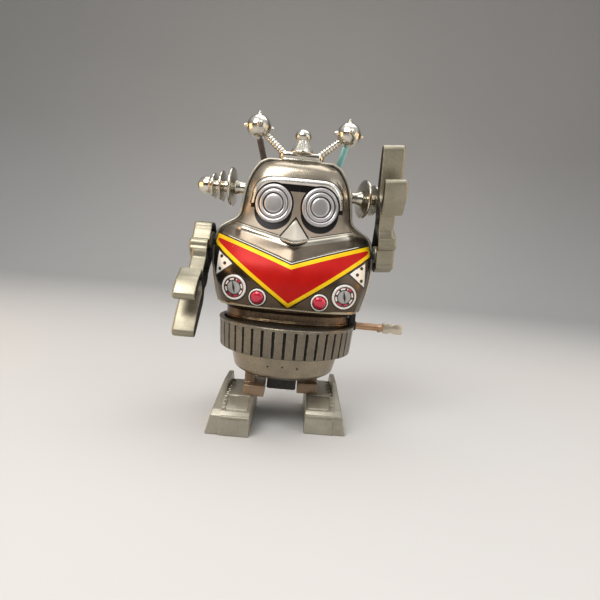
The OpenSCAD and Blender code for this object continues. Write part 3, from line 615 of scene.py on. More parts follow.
def printedTin(name, front):
    mat, tree, shader, coords = startMaterial(name)
    add, sub, mul, most, size = mathTools(tree)
    tone = {key: rgba(*value) for key, value in inks.items()}
    split = addNode(tree, "SeparateXYZ", {0: coords})
    ax = mul(size(split.outputs[0]), 1000)
    ySide = mul(split.outputs[1], 1000)
    z = mul(split.outputs[2], 1000)
    blotch = noiseAt(tree, coords, 70, 6, 0.6)
    fine = noiseAt(tree, coords, 1700, 3)
    cloudy = rampBetween(tree, blotch, 0.3, 0.72)
    # darker towards the bottom: partly a darker ink, partly a painted reflection of the dark surroundings
    # below the chest
    colour = blendColour(tree, rampBetween(tree, z, 70, 88), tone["lowTinAndDarkReflection"], tone["tin"])
    colour = blendColour(tree, mul(cloudy, 0.35), colour, tone["tinShade"])

    def under(limit, value, soft=0.06):
        # 1 where value is below limit, with a hair of softness
        return rampBetween(tree, sub(limit, value), -soft, soft)

    def over(limit, value, soft=0.06):
        return rampBetween(tree, sub(value, limit), -soft, soft)

    def between(low, high, value):
        return mul(over(low, value), under(high, value))

    def both(*masks):
        out = masks[0]
        for m in masks[1:]:
            out = mul(out, m)
        return out

    def length(a, b):
        return calc(tree, "SQRT", add(mul(a, a), mul(b, b)))

    if front:
        f = face
        cz = f["archZ"] - f["archR"]
        lean = mul(most(sub(cz, z), 0.0), 0.2)
        bow = length(most(sub(ax, f["archX"]), 0.0), most(sub(z, cz), 0.0))
        arch = sub(sub(bow, f["archR"]), lean)
        cheek = sub(z, add(f["cheekZ0"] - f["cheekSlope"] * f["cheekX0"], mul(ax, f["cheekSlope"])))
        # dull ink of the face, inside the brow and above the cheeks
        inFace = both(under(-0.8, arch, 0.3), over(0.7, cheek, 0.2), over(0, sub(0, ySide)))
        sideFace = both(over(0.9, cheek, 0.3), under(f["archLow"] - 1.2, z, 1.0), under(20.5, ax, 1.5))
        faceMask = most(inFace, sideFace)
        faceMix = rampBetween(tree, noiseAt(tree, coords, 240, 4), 0.3, 0.7)
        faceTone = blendColour(tree, faceMix, tone["face"], tone["faceShade"])
        # heights above the chevron's upper edge and below its lower one
        edgeTop = add(f["chevTop"], mul(ax, sub(f["chevTopSlope"], mul(ax, f["chevTopCurve"]))))
        edgeLow = add(f["chevLow"], mul(ax, f["chevLowSlope"]))
        up = mul(sub(z, edgeTop), 1 / math.hypot(1, f["chevTopSlope"]))
        low = mul(sub(edgeLow, z), 1 / math.hypot(1, f["chevLowSlope"]))
        muzzle = both(under(-1.6, cheek, 0.5), over(1.3, up, 0.2))
        # lighter band along the cheek ridge: a painted highlight where the raised lip meets the light
        lipHighlight = both(over(-1.9, cheek, 0.5), under(0.7, cheek, 0.2), under(24, ax, 1.0))
        hem = under(f["hemTop"], z, 0.15)
        # black line above each cheek ridge and beside the nose
        black = both(between(0.8, 1.15, cheek), between(6.6, 23.5, ax))
        noseSide = sub(mul(sub(f["noseTop"] + 0.7, z), f["noseSpread"]), ax)
        noseLow = sub(z, add(f["noseLow"], mul(mul(ax, ax), f["noseRise"] / f["noseHalf"] ** 2)))
        noseLine = both(between(-0.75, 0.05, noseSide), between(79.8, 88.6, z))
        # black strip under the nose: partly a printed line, partly painted shade on the nose's underside
        noseUnderLineAndShade = both(between(-0.35, 0.2, noseLow), under(f["noseHalf"] - 0.4, ax))
        # the nose is painted lighter than the tin round it: a painted highlight on the raised nose
        noseHighlightMask = both(over(0.05, noseSide), over(0.2, noseLow), under(f["noseTop"], z))
        # dark ring round each eye, the shadow under it, and the band that joins them
        ex = sub(ax, f["eyeX"])
        eyeRing = under(8.65, length(mul(ex, 1.06), sub(z, f["eyeZ"])))
        shadow = under(f["shadowR"], length(ex, sub(z, f["shadowZ"])))
        band = both(between(98.3, 101.1, z), under(7.5, ax))
        # brow ridge: bright on top, outlined, with a black end on each side
        archEnds = both(between(f["archLow"] - 2.0, f["archLow"] - 0.3, z), under(1.0, size(sub(ax, 18.0))))
        outline = both(between(f["archHalf"] + 0.05, f["archHalf"] + 0.42, size(arch)),
                       over(f["archLow"] - 0.4, z))
        brow = both(under(f["archHalf"], size(arch)), over(f["archLow"] - 0.3, z))
        # chevron: black outline, yellow border, red field, and above it a thin white line, a painted
        # highlight along the raised ridge
        chev = calc(tree, "SMOOTH_MAX", most(up, low), sub(ax, f["chevTip"]), f["chevRound"])
        lowered = under(82, z)
        lined = both(under(26.5, ax, 0.5), lowered)
        offLine = size(sub(up, f["paleLine"]))
        for m in (noseLine, noseUnderLineAndShade, eyeRing, shadow, band, archEnds, outline,
                  both(under(f["chevEdge"], chev), lowered), both(under(0.36, offLine), lined)):
            black = most(black, m)
        yellowTone = blendColour(tree, rampBetween(tree, blotch, 0.4, 0.7), tone["yellow"],
                                 tone["yellowShade"])
        redTone = blendColour(tree, cloudy, tone["red"], tone["redShade"])
        for mask, ink in ((faceMask, faceTone), (muzzle, tone["muzzle"]), (mul(lipHighlight, 0.7), tone["lipHighlight"]),
                          (mul(hem, 0.65), tone["hem"]), (brow, tone["brow"]), (noseHighlightMask, tone["noseHighlight"]),
                          (black, tone["black"]), (both(under(0.15, offLine), lined), tone["paleLineHighlight"]),
                          (both(under(0.0, chev), lowered), yellowTone),
                          (both(under(-f["chevBorder"], chev), lowered), redTone)):
            colour = blendColour(tree, mask, colour, ink)
    # rubbed spots and fine scratches down to bare tin
    scuff = rampBetween(tree, noiseAt(tree, coords, 900, 2, 0.7, (1, 1, 0.12)), 0.7, 0.78)
    rub = both(scuff, rampBetween(tree, noiseAt(tree, coords, 38, 3), 0.5, 0.62))
    colour = blendColour(tree, mul(rub, 0.5), colour, tone["rub"])
    pits = rampBetween(tree, noiseAt(tree, coords, 2300, 2), 0.7, 0.78)
    colour = blendColour(tree, mul(pits, 0.35), colour, tone["pit"])
    tree.links.new(colour, shader.inputs["Base Color"])
    rough = blendNumber(tree, cloudy, 0.2, 0.34)
    shader.inputs["Metallic"].default_value = 0.88
    if front:
        # opaque ink hides the metal
        opaque = most(black, mul(faceMask, 0.75))
        tree.links.new(blendNumber(tree, opaque, 0.88, 0.12), shader.inputs["Metallic"])
        rough = blendNumber(tree, opaque, rough, 0.38)
    tree.links.new(blendNumber(tree, mul(rub, 0.6), rough, 0.55), shader.inputs["Roughness"])
    shader.inputs["Specular IOR Level"].default_value = 0.16
    height = sub(add(mul(blotch, 1.6), mul(fine, 0.12)), mul(rub, 0.3))
    bump = addNode(tree, "Bump", {"Strength": 0.22, "Distance": 0.15 * mm, "Height": height})
    tree.links.new(bump.outputs[0], shader.inputs["Normal"])
    return mat


mats["frontTin"] = printedTin("frontTin", True)
mats["backTin"] = printedTin("backTin", False)

buildFrontShell(mats["frontTin"])
buildBackShell(mats["backTin"])
buildRim("back_shell_rolled_edge", mats["rimTin"], 0.05, 0.0, rim["beadOut"], rim["beadDeep"])
buildRim("back_shell_seam", mats["inkBlack"], rim["seamInset"], rim["seamAhead"], rim["seamR"], rim["seamR"])
print("shells done")


# ---------- round details pressed and printed on the front ----------

def surfaceFrame(x, z, relief=True, e=0.25):
    # point and outward normal of the front at (x, z), with or without its relief
    def at(px, pz):
        out = frontSkin(px, pz) + (frontRelief(px, pz) if relief else 0)
        return Vector((px, frontGrid["seam"] - out, pz))
    du = (at(x + e, z) - at(x - e, z)).normalized()
    dv = (at(x, z + e) - at(x, z - e)).normalized()
    n = du.cross(dv).normalized()
    return at(x, z), -n if n.y > 0 else n


def polarPatch(name, cx, cz, rings, rx, rz, spokes, lift, matList, pick=None):
    # rings are (radius, height, material); the disc follows the plain tin under it
    verts, faceMats = [], []
    for r, h, m in rings:
        for s in range(spokes):
            a = 2 * math.pi * s / spokes
            p, n = surfaceFrame(cx + r * rx * math.cos(a), cz + r * rz * math.sin(a), False, 0.3)
            verts.append(p + n * (h + lift))
    for i in range(1, len(rings)):
        for s in range(spokes):
            m = rings[i][2]
            faceMats.append(pick(i, 360 * (s + 0.5) / spokes, m) if pick else m)
    faces = gridFaces(len(rings), spokes, True)
    faces.append(tuple(range((len(rings) - 1) * spokes, len(rings) * spokes)))
    faceMats.append(rings[-1][2])
    obj = makePiece(name, verts, faces, list(matList), "root", True, faceMats)


sides = ((-1, "left"), (1, "right"))
eyeRings = [(1.0, -0.25, 0), (0.985, 0.35, 0), (0.94, 0.72, 0), (0.86, 0.8, 0), (0.8, 0.72, 0),
            (0.785, 0.45, 1), (0.75, 0.42, 1), (0.735, 0.62, 0), (0.7, 0.9, 0), (0.62, 0.98, 0),
            (0.56, 0.86, 0), (0.54, 0.6, 1), (0.49, 0.56, 1), (0.475, 0.8, 0), (0.45, 0.98, 0),
            (0.38, 1.05, 0), (0.25, 1.12, 0), (0.1, 1.16, 0)]
for side, tag in sides:
    polarPatch("eye_" + tag, side * face["eyeX"], face["eyeZ"], eyeRings, face["eyeRx"], face["eyeRz"], 96,
               0.0, (mats["brightTin"], mats["inkBlack"]))

chest = {"gaugeX": 21.9, "gaugeZ": 58.2, "gaugeR": 5.0, "buttonX": 12.2, "buttonZ": 55.3, "buttonR": 3.4,
         "lift": 0.08}
gaugeRings = [(1.1, 0.0, 1), (1.0, 0.05, 1), (0.99, 0.28, 0), (0.93, 0.36, 0), (0.83, 0.3, 0), (0.81, 0.1, 1),
              (0.75, 0.1, 1), (0.73, 0.12, 3), (0.6, 0.12, 3), (0.585, 0.12, 1), (0.52, 0.12, 1),
              (0.5, 0.14, 2), (0.3, 0.2, 2), (0.1, 0.22, 2)]


def gaugeInk(ring, angle, m):
    # coloured segments round the dial
    if ring == 8:
        turn = angle % 360
        if (turn % 45) > 31:
            return 1
        return 4 if 225 <= turn < 315 or 45 <= turn < 70 else 0
    return m


buttonRings = [(1.12, 0.0, 1), (1.0, 0.05, 1), (0.98, 0.35, 0), (0.92, 0.5, 0), (0.84, 0.46, 0),
               (0.79, 0.25, 1), (0.75, 0.25, 1), (0.73, 0.4, 2), (0.64, 0.85, 2), (0.5, 1.15, 2),
               (0.34, 1.32, 2), (0.15, 1.4, 2)]
gaugeMats = [mats[key] for key in ("inkWhite", "inkBlack", "inkGrey", "inkPink", "inkCrimson")]
buttonMats = [mats[key] for key in ("inkWhite", "inkBlack", "inkCrimson")]
for side, tag in sides:
    polarPatch("gauge_" + tag, side * chest["gaugeX"], chest["gaugeZ"], gaugeRings, chest["gaugeR"],
               chest["gaugeR"], 144, chest["lift"], gaugeMats, gaugeInk)
    polarPatch("button_" + tag, side * chest["buttonX"], chest["buttonZ"], buttonRings, chest["buttonR"],
               chest["buttonR"], 72, chest["lift"], buttonMats)


def printedPatch(name, outline, mat, lift):
    # flat ink shape laid on the tin, cut finely enough to follow its curve
    bm = bmesh.new()
    bm.faces.new([bm.verts.new((p[0], 0, p[1])) for p in outline])
    bmesh.ops.triangulate(bm, faces=bm.faces)
    for _ in range(3):
        bmesh.ops.subdivide_edges(bm, edges=bm.edges, cuts=1, use_grid_fill=True)
        bmesh.ops.triangulate(bm, faces=bm.faces)
    for v in bm.verts:
        p, n = surfaceFrame(v.co.x, v.co.z)
        v.co = p + n * lift
    bmesh.ops.recalc_face_normals(bm, faces=bm.faces)
    verts = [tuple(v.co) for v in bm.verts]
    bm.verts.index_update()
    faces = [tuple(v.index for v in f.verts) for f in bm.faces]
    bm.free()
    obj = makePiece(name, verts, faces, [mat], "root")


def discOutline(cx, cz, r, n=14):
    return [(cx + r * math.cos(2*math.pi*k/n), cz + r * math.sin(2*math.pi*k/n)) for k in range(n)]


needle = {"reach": 2.8, "tail": 2.5, "half": 0.5, "tilt": 12, "lift": 0.36}
for side, tag in sides:
    lean = math.radians(needle["tilt"])
    up = Vector((-math.sin(lean), math.cos(lean)))
    across = Vector((up.y, -up.x))
    hub = Vector((side * chest["gaugeX"], chest["gaugeZ"]))
    shape = [hub + up * needle["reach"], hub + across * needle["half"], hub - up * needle["tail"],
             hub - across * needle["half"]]
    printedPatch("needle_" + tag, shape, mats["inkBlack"], needle["lift"])

triangle = {"corners": ((29.7, 72.6), (23.3, 67.4), (30.2, 62.3)), "edge": 1.22, "dotR": 0.7,
            "dots": ((28.2, 69.9), (26.5, 67.3), (28.5, 64.9))}
cx, cz = (sum(c[i] for c in triangle["corners"]) / 3 for i in (0, 1))
for side, tag in sides:
    outer = [(side * (cx + (x - cx) * triangle["edge"]), cz + (z - cz) * triangle["edge"])
             for x, z in triangle["corners"]]
    printedPatch("triangle_edge_" + tag, outer, mats["inkBlack"], 0.05)
    printedPatch("triangle_" + tag, [(side * x, z) for x, z in triangle["corners"]], mats["inkWhite"], 0.09)
    for k, (x, z) in enumerate(triangle["dots"]):
        printedPatch(f"triangle_dot_{tag}_{k}", discOutline(side * x, z, triangle["dotR"]), mats["inkBlack"],
                     0.13)
print("printed details done")


# ---------- waist: collar, deck, ribbed ring, pelvis cup ----------

def flat(x, y, z):
    return (x, y, z)


def boxOf(node):
    lo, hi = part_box(node)
    return Vector(lo) / mm, Vector(hi) / mm


ringLow, ringHigh = boxOf("waist_ring")
cupLow, cupHigh = boxOf("pelvis_cup")
collarLow, collarHigh = boxOf("chest_collar")
deckLow, deckHigh = boxOf("waist_deck")

waist = {"ribs": 42, "grooveDepth": 1.25, "grooveHalf": 0.14, "lipHeight": 1.15,
         "taper": 0.9,
         "spread": (0.0, 0.06, 0.1, 0.125, 0.14, 0.17, 0.34, 0.5, 0.66, 0.83, 0.86, 0.875, 0.9, 0.94)}
# where the winding stem passes out: start and half width of each notch
notch = {"ring": (24, 2.05), "deck": (22, 2.2), "collar": (20, 2.4), "end": 34}


def buildRing():
    z0, z1 = ringLow.z, ringHigh.z
    r1 = ringHigh.x
    r0 = r1 - waist["taper"]
    h = z1 - z0
    top = h - waist["lipHeight"]
    spread = waist["spread"]
    segs = waist["ribs"] * len(spread)
    # (height, inward offset, how far the grooves are opened)
    levels = [(0.0, -6.4, 0), (0.0, -1.4, 0), (0.0, -0.5, 0.8), (0.12, -0.2, 1), (0.4, 0, 1), (2, 0, 1),
              (4, 0, 1), (6, 0, 1), (top - 0.4, 0, 1), (top - 0.2, 0, 0.9), (top - 0.08, 0, 0.65),
              (top, 0, 0), (h - 0.95, 0, 0), (h - 0.85, 0.14, 0), (h - 0.25, 0.16, 0), (h - 0.05, 0, 0),
              (h, -0.25, 0), (h, -1.6, 0), (h - 0.1, -1.9, 0), (h - 1.2, -2.1, 0), (1.4, -1.9, 0),
              (1.2, -2.2, 0), (1.2, -6.4, 0)]
    verts = []
    dips = []
    for z, dr, opened in levels:
        base = mixValue(r0, r1, z / h) + dr
        for s in range(segs):
            part = spread[s % len(spread)]
            a = 2 * math.pi * (s // len(spread) + 0.5 + part) / waist["ribs"]
            off = min(part, 1 - part) / (waist["grooveHalf"] * max(opened, 0.01))
            dip = waist["grooveDepth"] * opened * math.sqrt(max(1 - off * off, 0.0))
            dips.append(dip)
            # each rib is a flat facet
            halfTurn = math.pi / waist["ribs"]
            flatten = math.cos(halfTurn) / math.cos((part - 0.5) * 2 * halfTurn) if opened else 1
            r = base * flatten - dip
            verts.append((r * math.cos(a), r * math.sin(a), z0 + z))
    faces = closedFaces(len(levels), segs)
    # groove floors take the dark recess finish: painted shade in the grooves
    shaded = [1 if sum(dips[v] for v in f) > 1.3 * waist["grooveDepth"] else 0 for f in faces]
    obj = makePiece("ribbed_ring", verts, faces, [mats["ringPlastic"], mats["hollow"]], "root", True, shaded)
    fixNormals(obj)
    cutNotch(obj, "ring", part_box("winding_stem")[0][2] / mm - 0.5, z1 + 2)
    sharpByAngle(obj, 38)
    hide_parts("waist_ring")


def cutBox(obj, low, high):
    bm = bmesh.new()
    bmesh.ops.create_cube(bm, size=1)
    lo, hi = Vector(low) * mm, Vector(high) * mm
    for v in bm.verts:
        v.co = Vector((lo[i] + (hi[i] - lo[i]) * (v.co[i] + 0.5) for i in range(3)))
    mesh = bpy.data.meshes.new("cutter")
    bm.to_mesh(mesh)
    bm.free()
    cutter = placeObject("cutter", mesh)
    mod = obj.modifiers.new("cut", "BOOLEAN")
    mod.object = cutter
    mod.operation = "DIFFERENCE"
    mod.solver = "EXACT"
    bpy.context.view_layer.update()
    deps = bpy.context.evaluated_depsgraph_get()
    done = bpy.data.meshes.new_from_object(obj.evaluated_get(deps))
    old = obj.data
    obj.modifiers.clear()
    obj.data = done
    bpy.data.meshes.remove(old)
    bpy.data.objects.remove(cutter)


def cutNotch(obj, key, zLow, zHigh):
    start, half = notch[key]
    cutBox(obj, (start, -half, zLow), (notch["end"], half, zHigh))


def revolve(name, corners, segments, mat, body, nodes):
    # corners are (radius, height, fillet) round a closed section
    loop = roundedOutline(corners, 5)
    verts = []
    for p in loop:
        for s in range(segments):
            a = 2 * math.pi * s / segments
            verts.append((p.x * math.cos(a), p.x * math.sin(a), p.y))
    obj = makePiece(name, verts, closedFaces(len(loop), segments), [mat], body)
    fixNormals(obj)
    sharpByAngle(obj, 50)
    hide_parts(*nodes)
    return obj


buildRing()

cupR, cupZ0, cupZ1 = cupHigh.x, cupLow.z, cupHigh.z
cupShape = {"window": (13.45, 2.7, 9.9), "pinTurns": (-15, 0, 15), "pinZ": 6.2, "pinR": 0.62}
cup = revolve("pelvis_dish", [
    (0.02, cupZ0, 0), (cupR - 4.2, cupZ0, 1.2), (cupR - 1.6, cupZ0 + 1.6, 1.8), (cupR - 0.5, cupZ0 + 6, 3),
    (cupR, cupZ1, 0.3), (cupR - 1.5, cupZ1, 0.3), (cupR - 3.3, cupZ0 + 3.4, 1.5),
    (cupR - 4.4, cupZ0 + 1.3, 0.5), (0.02, cupZ0 + 1.3, 0)],
    128, mats["pelvisPlastic"], "root", ["pelvis_cup"])
for side in (-1, 1):
    # one window for each leg
    wx, halfX, halfY = cupShape["window"]
    cutBox(cup, (side * wx - halfX, -halfY, cupZ0 - 2), (side * wx + halfX, halfY, cupZ0 + 2.5))
sharpByAngle(cup, 40)
for k, a in enumerate(cupShape["pinTurns"]):
    # three tiny ejector-pin marks on the front of the cup
    an = math.radians(-90 + a)
    pinR = cupShape["pinR"]
    spot = Vector(((cupR - 0.5) * math.cos(an), (cupR - 0.5) * math.sin(an),
                   cupZ0 + cupShape["pinZ"] - 0.4 * abs(k - 1)))
    out = Vector((math.cos(an), math.sin(an), -0.1)).normalized()
    side = Vector((-math.sin(an), math.cos(an), 0))
    up = out.cross(side)
    dot = lathePiece(f"pelvis_pin_{k}", [(-0.3, 0.62), (0.1, 0.62), (0.2, 0.5), (0.24, 0.2)], 20,
                     [mats["black"]], "root",
                     lambda u, v, h: tuple(spot + side * u * pinR + up * v * pinR + out * h))


def superLoop(w, d, k=0.85, steps=144):
    pts = []
    for i in range(steps):
        a = 2 * math.pi * i / steps
        pts.append(Vector((w * math.copysign(abs(math.cos(a)) ** k, math.cos(a)),
                           d * math.copysign(abs(math.sin(a)) ** k, math.sin(a)))))
    return pts


def buildCollar():
    w, d = collarHigh.x, collarHigh.y
    z0, z1 = collarLow.z, collarHigh.z
    levels = [(z0, 0), (z0 + 0.9, 0), (z0 + 1.3, 0.5), (z0 + 1.7, 0.5), (z0 + 2.1, 0), (z1 - 1.5, 0.1),
              (z1 - 0.6, 0.9), (z1 - 0.2, 1.6), (z1 + 0.1, 1.75), (z1 + 0.3, 1.4), (z1 + 0.1, 0.4),
              (z1 - 1, -0.9), (z0, -0.9)]
    loops = [(z, superLoop(w + o, d + o)) for z, o in levels]
    loops.append(loops[0])
    obj = stackLoops("neck_band", loops, [mats["collarTin"]], "root", flat, False, False)
    cutNotch(obj, "collar", z0 - 1, z1 - 0.9)
    sharpByAngle(obj, 35)
    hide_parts("chest_collar")


buildCollar()
deckR = deckHigh.x
deck = revolve("ring_deck", [(14, deckLow.z, 0.05), (deckR, deckLow.z, 0.1), (deckR, deckHigh.z, 0.2),
                             (14, deckHigh.z, 0.05)],
               96, mats["black"], "root", ["waist_deck"])
cutNotch(deck, "deck", deckLow.z - 2, deckHigh.z + 2)
yokeLow, yokeHigh = boxOf("guide_yoke")
yoke = {"halfX": 6.2, "halfY": 8.0, "drop": 1.5}
block = roundedOutline([(u * yoke["halfX"], v * yoke["halfY"], 0.8)
                        for u, v in ((-1, -1), (1, -1), (1, 1), (-1, 1))])
yokeBase = yokeLow.z - yoke["drop"]
yokeBlock = stackLoops("yoke_block", insetLevels(block, ((yokeBase, 0.5), (yokeBase + 0.5, 0),
                                                         (yokeHigh.z, 0))), [mats["black"]], "root", flat)
sharpByAngle(yokeBlock, 40)
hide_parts("guide_yoke")
print("waist done")


# ---------- crown, ears and stays ----------

crownLow, crownHigh = boxOf("crown")
crown = {"endX": 6.2, "endR": 3.2, "baseH": 3.5, "ballX": 18.9, "ballR": 5.0, "strutR": 1.55,
         "strutDrop": 17.4, "ribs": 9, "coneFlutes": 10, "topR": 3.4, "ballDrop": 6.5, "topDrop": 8.9}


def orient(centre, axis, ref=Vector((0, 1, 0))):
    # maps (u, v, h) onto a frame whose h runs along axis
    axis = axis.normalized()
    u = ref.cross(axis)
    if u.length < 1e-4:
        u = Vector((1, 0, 0)).cross(axis)
    u.normalize()
    v = axis.cross(u)
    return lambda a, b, h: tuple(centre + u * a + v * b + axis * h)


def buildBall(name, centre, radius, spikes, body, squat=1.0):
    bm = bmesh.new()
    bmesh.ops.create_uvsphere(bm, u_segments=48, v_segments=28, radius=radius)
    for v in bm.verts:
        # moulding seam round the middle
        ring = math.exp(-(v.co.z / 0.16) ** 2)
        v.co *= 1 + 0.02 * ring
        v.co.z *= squat
        v.co += centre
    verts = [tuple(v.co) for v in bm.verts]
    faces = [tuple(v.index for v in f.verts) for f in bm.faces]
    bm.free()
    ball = makePiece(name, verts, faces, [mats["chrome"]], body)
    parts = [ball]
    if spikes:
        tilt = Matrix.Rotation(math.radians(11), 3, "Z")
        for k, d in enumerate(((0, 0, 1), (0, -1, 0), (1, 0, 0), (0, 1, 0), (-1, 0, 0))):
            axis = tilt @ Vector(d)
            prof = roundedProfile([(radius - 0.6, 1.7, 0), (radius + 0.1, 1.15, 0.35),
                                   (radius + 0.8, 0.85, 0.4), (radius + 1.45, 0.6, 0.4),
                                   (radius + 1.5, 0.05, 0)])
            parts.append(lathePiece(f"{name}_point{k}", prof, 20, [mats["chrome"]], body,
                                    orient(centre, axis)))
    return parts


def buildCrown():
    z0 = crownLow.z
    parts = []
    x, endR, h = crown["endX"], crown["endR"], crown["baseH"]
    base = roundedOutline([(-x - endR, -endR, endR), (x + endR, -endR, endR), (x + endR, endR, endR),
                           (-x - endR, endR, endR)], 12)
    levels = [(0, 0.0), (0.5, 0.0), (0.65, 0.22), (0.95, 0.22), (1.1, 0.0), (h - 0.9, 0.0), (h - 0.5, 0.1),
              (h - 0.2, 0.3), (h - 0.04, 0.6), (h, 1.0)]
    parts.append(stackLoops("crown_base", [(z0 + up, insetLoop(base, inward)) for up, inward in levels],
                            [mats["chrome"]], "root", flat))
    for s in (-1, 1):
        start = Vector((s * x, 0, crownHigh.z - crown["strutDrop"]))
        ball = Vector((s * crown["ballX"], 0, crownHigh.z - crown["ballDrop"]))
        run = ball - start
        n = crown["ribs"]
        prof = [(0, crown["strutR"])]
        reach = run.length - crown["ballR"] + 0.6
        for i in range(n * 6 + 1):
            t = i / (n * 6)
            prof.append((0.5 + t * (reach - 0.5), crown["strutR"] * (0.95 + 0.08 * math.cos(2*math.pi*n*t))))
        parts.append(lathePiece(f"crown_strut{s}", prof, 28, [mats["chrome"]], "root", orient(start, run)))
        parts += buildBall(f"crown_ball{s}", ball, crown["ballR"], True, "root")
    top = Vector((0, 0, crownHigh.z - crown["topDrop"]))
    flutes = crown["coneFlutes"]
    cone = roundedProfile([(2.0, 3.1, 0), (3.2, 5.1, 0.3), (3.7, 5.1, 0.2), (8.8, 2.5, 0.6), (9.4, 2.6, 0.2),
                           (10.4, 2.4, 0.1)])
    fine = []
    for i in range(len(cone) - 1):
        for k in range(4):
            t = k / 4
            fine.append((mixValue(cone[i][0], cone[i+1][0], t), mixValue(cone[i][1], cone[i+1][1], t)))
    fine.append(cone[-1])
    parts.append(lathePiece("crown_cone", fine, flutes * 10, [mats["chrome"]], "root",
                            orient(Vector((0, 0, z0)), Vector((0, 0, 1))),
                            lambda a, h: -0.3 * step01(3.6, 4.2, h) * step01(9.4, 8.4, h)
                            * abs(math.cos(a * flutes / 2)) ** 6))
    parts += buildBall("crown_top", top, crown["topR"], False, "root", 0.86)
    whole = joinPieces("crown_moulding", parts)
    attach(whole, "root")
    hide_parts("crown")


buildCrown()

ear = {"x": 22.35, "y": 0.6, "z": 99, "sweepLeft": 4, "sweepRight": 15}
earSteps = [(0, 0.02, 0), (0, 2.4, 0), (2.2, 2.5, 0.5), (4.2, 3.3, 0.8), (4.95, 6.2, 1.0), (5.2, 7.9, 0.5),
            (5.55, 8.3, 0.2), (6.15, 8.3, 0.2), (6.45, 7.7, 0.2), (6.6, 4.0, 0.6), (7.1, 2.6, 0.5),
            (8.9, 2.5, 0.4), (9.4, 3.4, 0.4), (9.6, 6.1, 0.3), (9.85, 6.6, 0.2), (10.4, 6.6, 0.2),
            (10.7, 6.0, 0.2), (10.85, 3.4, 0.4), (11.3, 2.6, 0.4), (12.5, 2.5, 0.3), (12.95, 3.3, 0.3),
            (13.05, 4.9, 0.3), (13.3, 5.4, 0.2), (13.8, 5.4, 0.2), (14.05, 4.9, 0.2), (14.2, 3.3, 0.3),
            (14.8, 3.0, 0.3), (15.5, 3.8, 0.5), (17.4, 3.85, 1.2), (19.6, 2.7, 1.5), (20.75, 0.9, 0.8),
            (20.8, 0.02, 0)]
for side, tag, sweep in ((-1, "left", ear["sweepLeft"]), (1, "right", ear["sweepRight"])):
    sweep = math.radians(sweep)
    axis = Vector((side * math.cos(sweep), math.sin(sweep), 0))
    turn = orient(Vector((side * ear["x"], ear["y"], ear["z"])), axis)
    whole = lathePiece("ear_stack_" + tag, roundedProfile(earSteps, 6), 96, [mats["chrome"]], "root", turn)
    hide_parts("ear_" + tag)

stay = {"x": 14.6, "tilt": 16, "half": 1.35, "length": 18.8, "soft": 0.08}
for tag, side, finish, slot in (("left", -1, "stayDark", "stay_dark"), ("right", 1, "stayTeal", "stay_teal")):
    lo, hi = boxOf("stay_" + tag)
    tilt = math.radians(stay["tilt"])
    base = Vector((side * stay["x"], hi.y - 0.5, lo.z + 0.4))
    along = Vector((side * math.sin(tilt), 0, math.cos(tilt)))
    across = Vector((math.cos(tilt), 0, -side * math.sin(tilt)))
    loop = roundedOutline([(-stay["half"], 0, 0.2), (stay["half"], 0, 0.2),
                           (stay["half"], stay["length"], 0.9), (-stay["half"], stay["length"], 0.9)])
    strip = stackLoops("stay_strip_" + tag, insetLevels(loop, ((0.02, stay["soft"]), (0.1, 0), (0.4, 0),
                                                               (0.48, stay["soft"]))),
                       [mats[finish]], "root",
                       lambda u, v, h: tuple(base + across * u + along * v + Vector((0, h, 0))))
    sharpByAngle(strip, 50)
    rivet = lathePiece("stay_rivet_" + tag, [(-0.9, 0.8), (0.45, 0.8), (0.5, 1.15), (0.75, 1.0), (0.9, 0.5),
                                             (0.93, 0.05)], 24, [mats["steel"]], "root",
                       orient(base + along * 1.0, Vector((0, 1, 0)), Vector((0, 0, 1))))
    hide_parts("stay_" + tag)
print("crown and ears done")


# ---------- arms ----------

arm = {"pivotZ": 76, "innerX": 34.6, "leftAngle": 42, "rightAngle": 150, "lean": 5, "wall": 1.3, "face": 1.4,
       "shoulder": 7.4, "forearm": 6.0, "hand": 8.6, "soft": 1.1}
# outline in the arm's plane: u runs to the hand, v to the front of the body
armDiscs = [(0, 0, 7.6), (9.5, 1.6, 6.0), (18.5, -1.2, 5.4), (8.3, 6.3, 2.4), (-1.5, 6.6, 1.8)]
armSides = [(0, 7.6, -7.6), (11, 5.4, -5.2), (21.5, 4.8, -5.2)]


def insideArm(u, v):
    if any(math.hypot(u - cu, v - cv) < r for cu, cv, r in armDiscs):
        return True
    for (u0, front0, back0), (u1, front1, back1) in zip(armSides, armSides[1:]):
        if u0 <= u <= u1:
            t = (u - u0) / (u1 - u0)
            return mixValue(back0, back1, t) < v < mixValue(front0, front1, t)
    return False


def rayOutline(centre, uMin, uMax, steps=140):
    # farthest solid point in each direction from the centre
    pts = []
    for i in range(steps):
        a = 2 * math.pi * i / steps
        r = 16.0
        while r > 0.5:
            u, v = centre + r * math.cos(a), r * math.sin(a)
            if uMin <= u <= uMax and insideArm(u, v):
                break
            r -= 0.03
        pts.append(Vector((centre + r * math.cos(a), r * math.sin(a))))
    return pts


# the claw as points (u, v) and arcs (u, v, radius, from, to, steps)
clawPath = [(21.5, 6.6), (29.4, 0.2, 8.3, 118, 90, 6), (34.2, 6.2, 1.9, 78, -78, 10), (32.4, 4.35),
            (28.6, 1.2, 3.3, 70, 290, 22), (31.5, -2.15), (37.5, -2.6), (43, -5.6, 2.1, 72, -98, 12),
            (38.5, -7.85), (29.4, 0.2, 8.3, 278, 224, 12), (21.5, -5.3)]


def handOutline():
    pts = []
    for u, v, *arc in clawPath:
        r, a0, a1, n = arc or (0, 0, 0, 0)
        for i in range(n + 1):
            a = math.radians(mixValue(a0, a1, i / n if n else 0))
            pts.append(Vector((u + r * math.cos(a), v + r * math.sin(a))))
    return pts


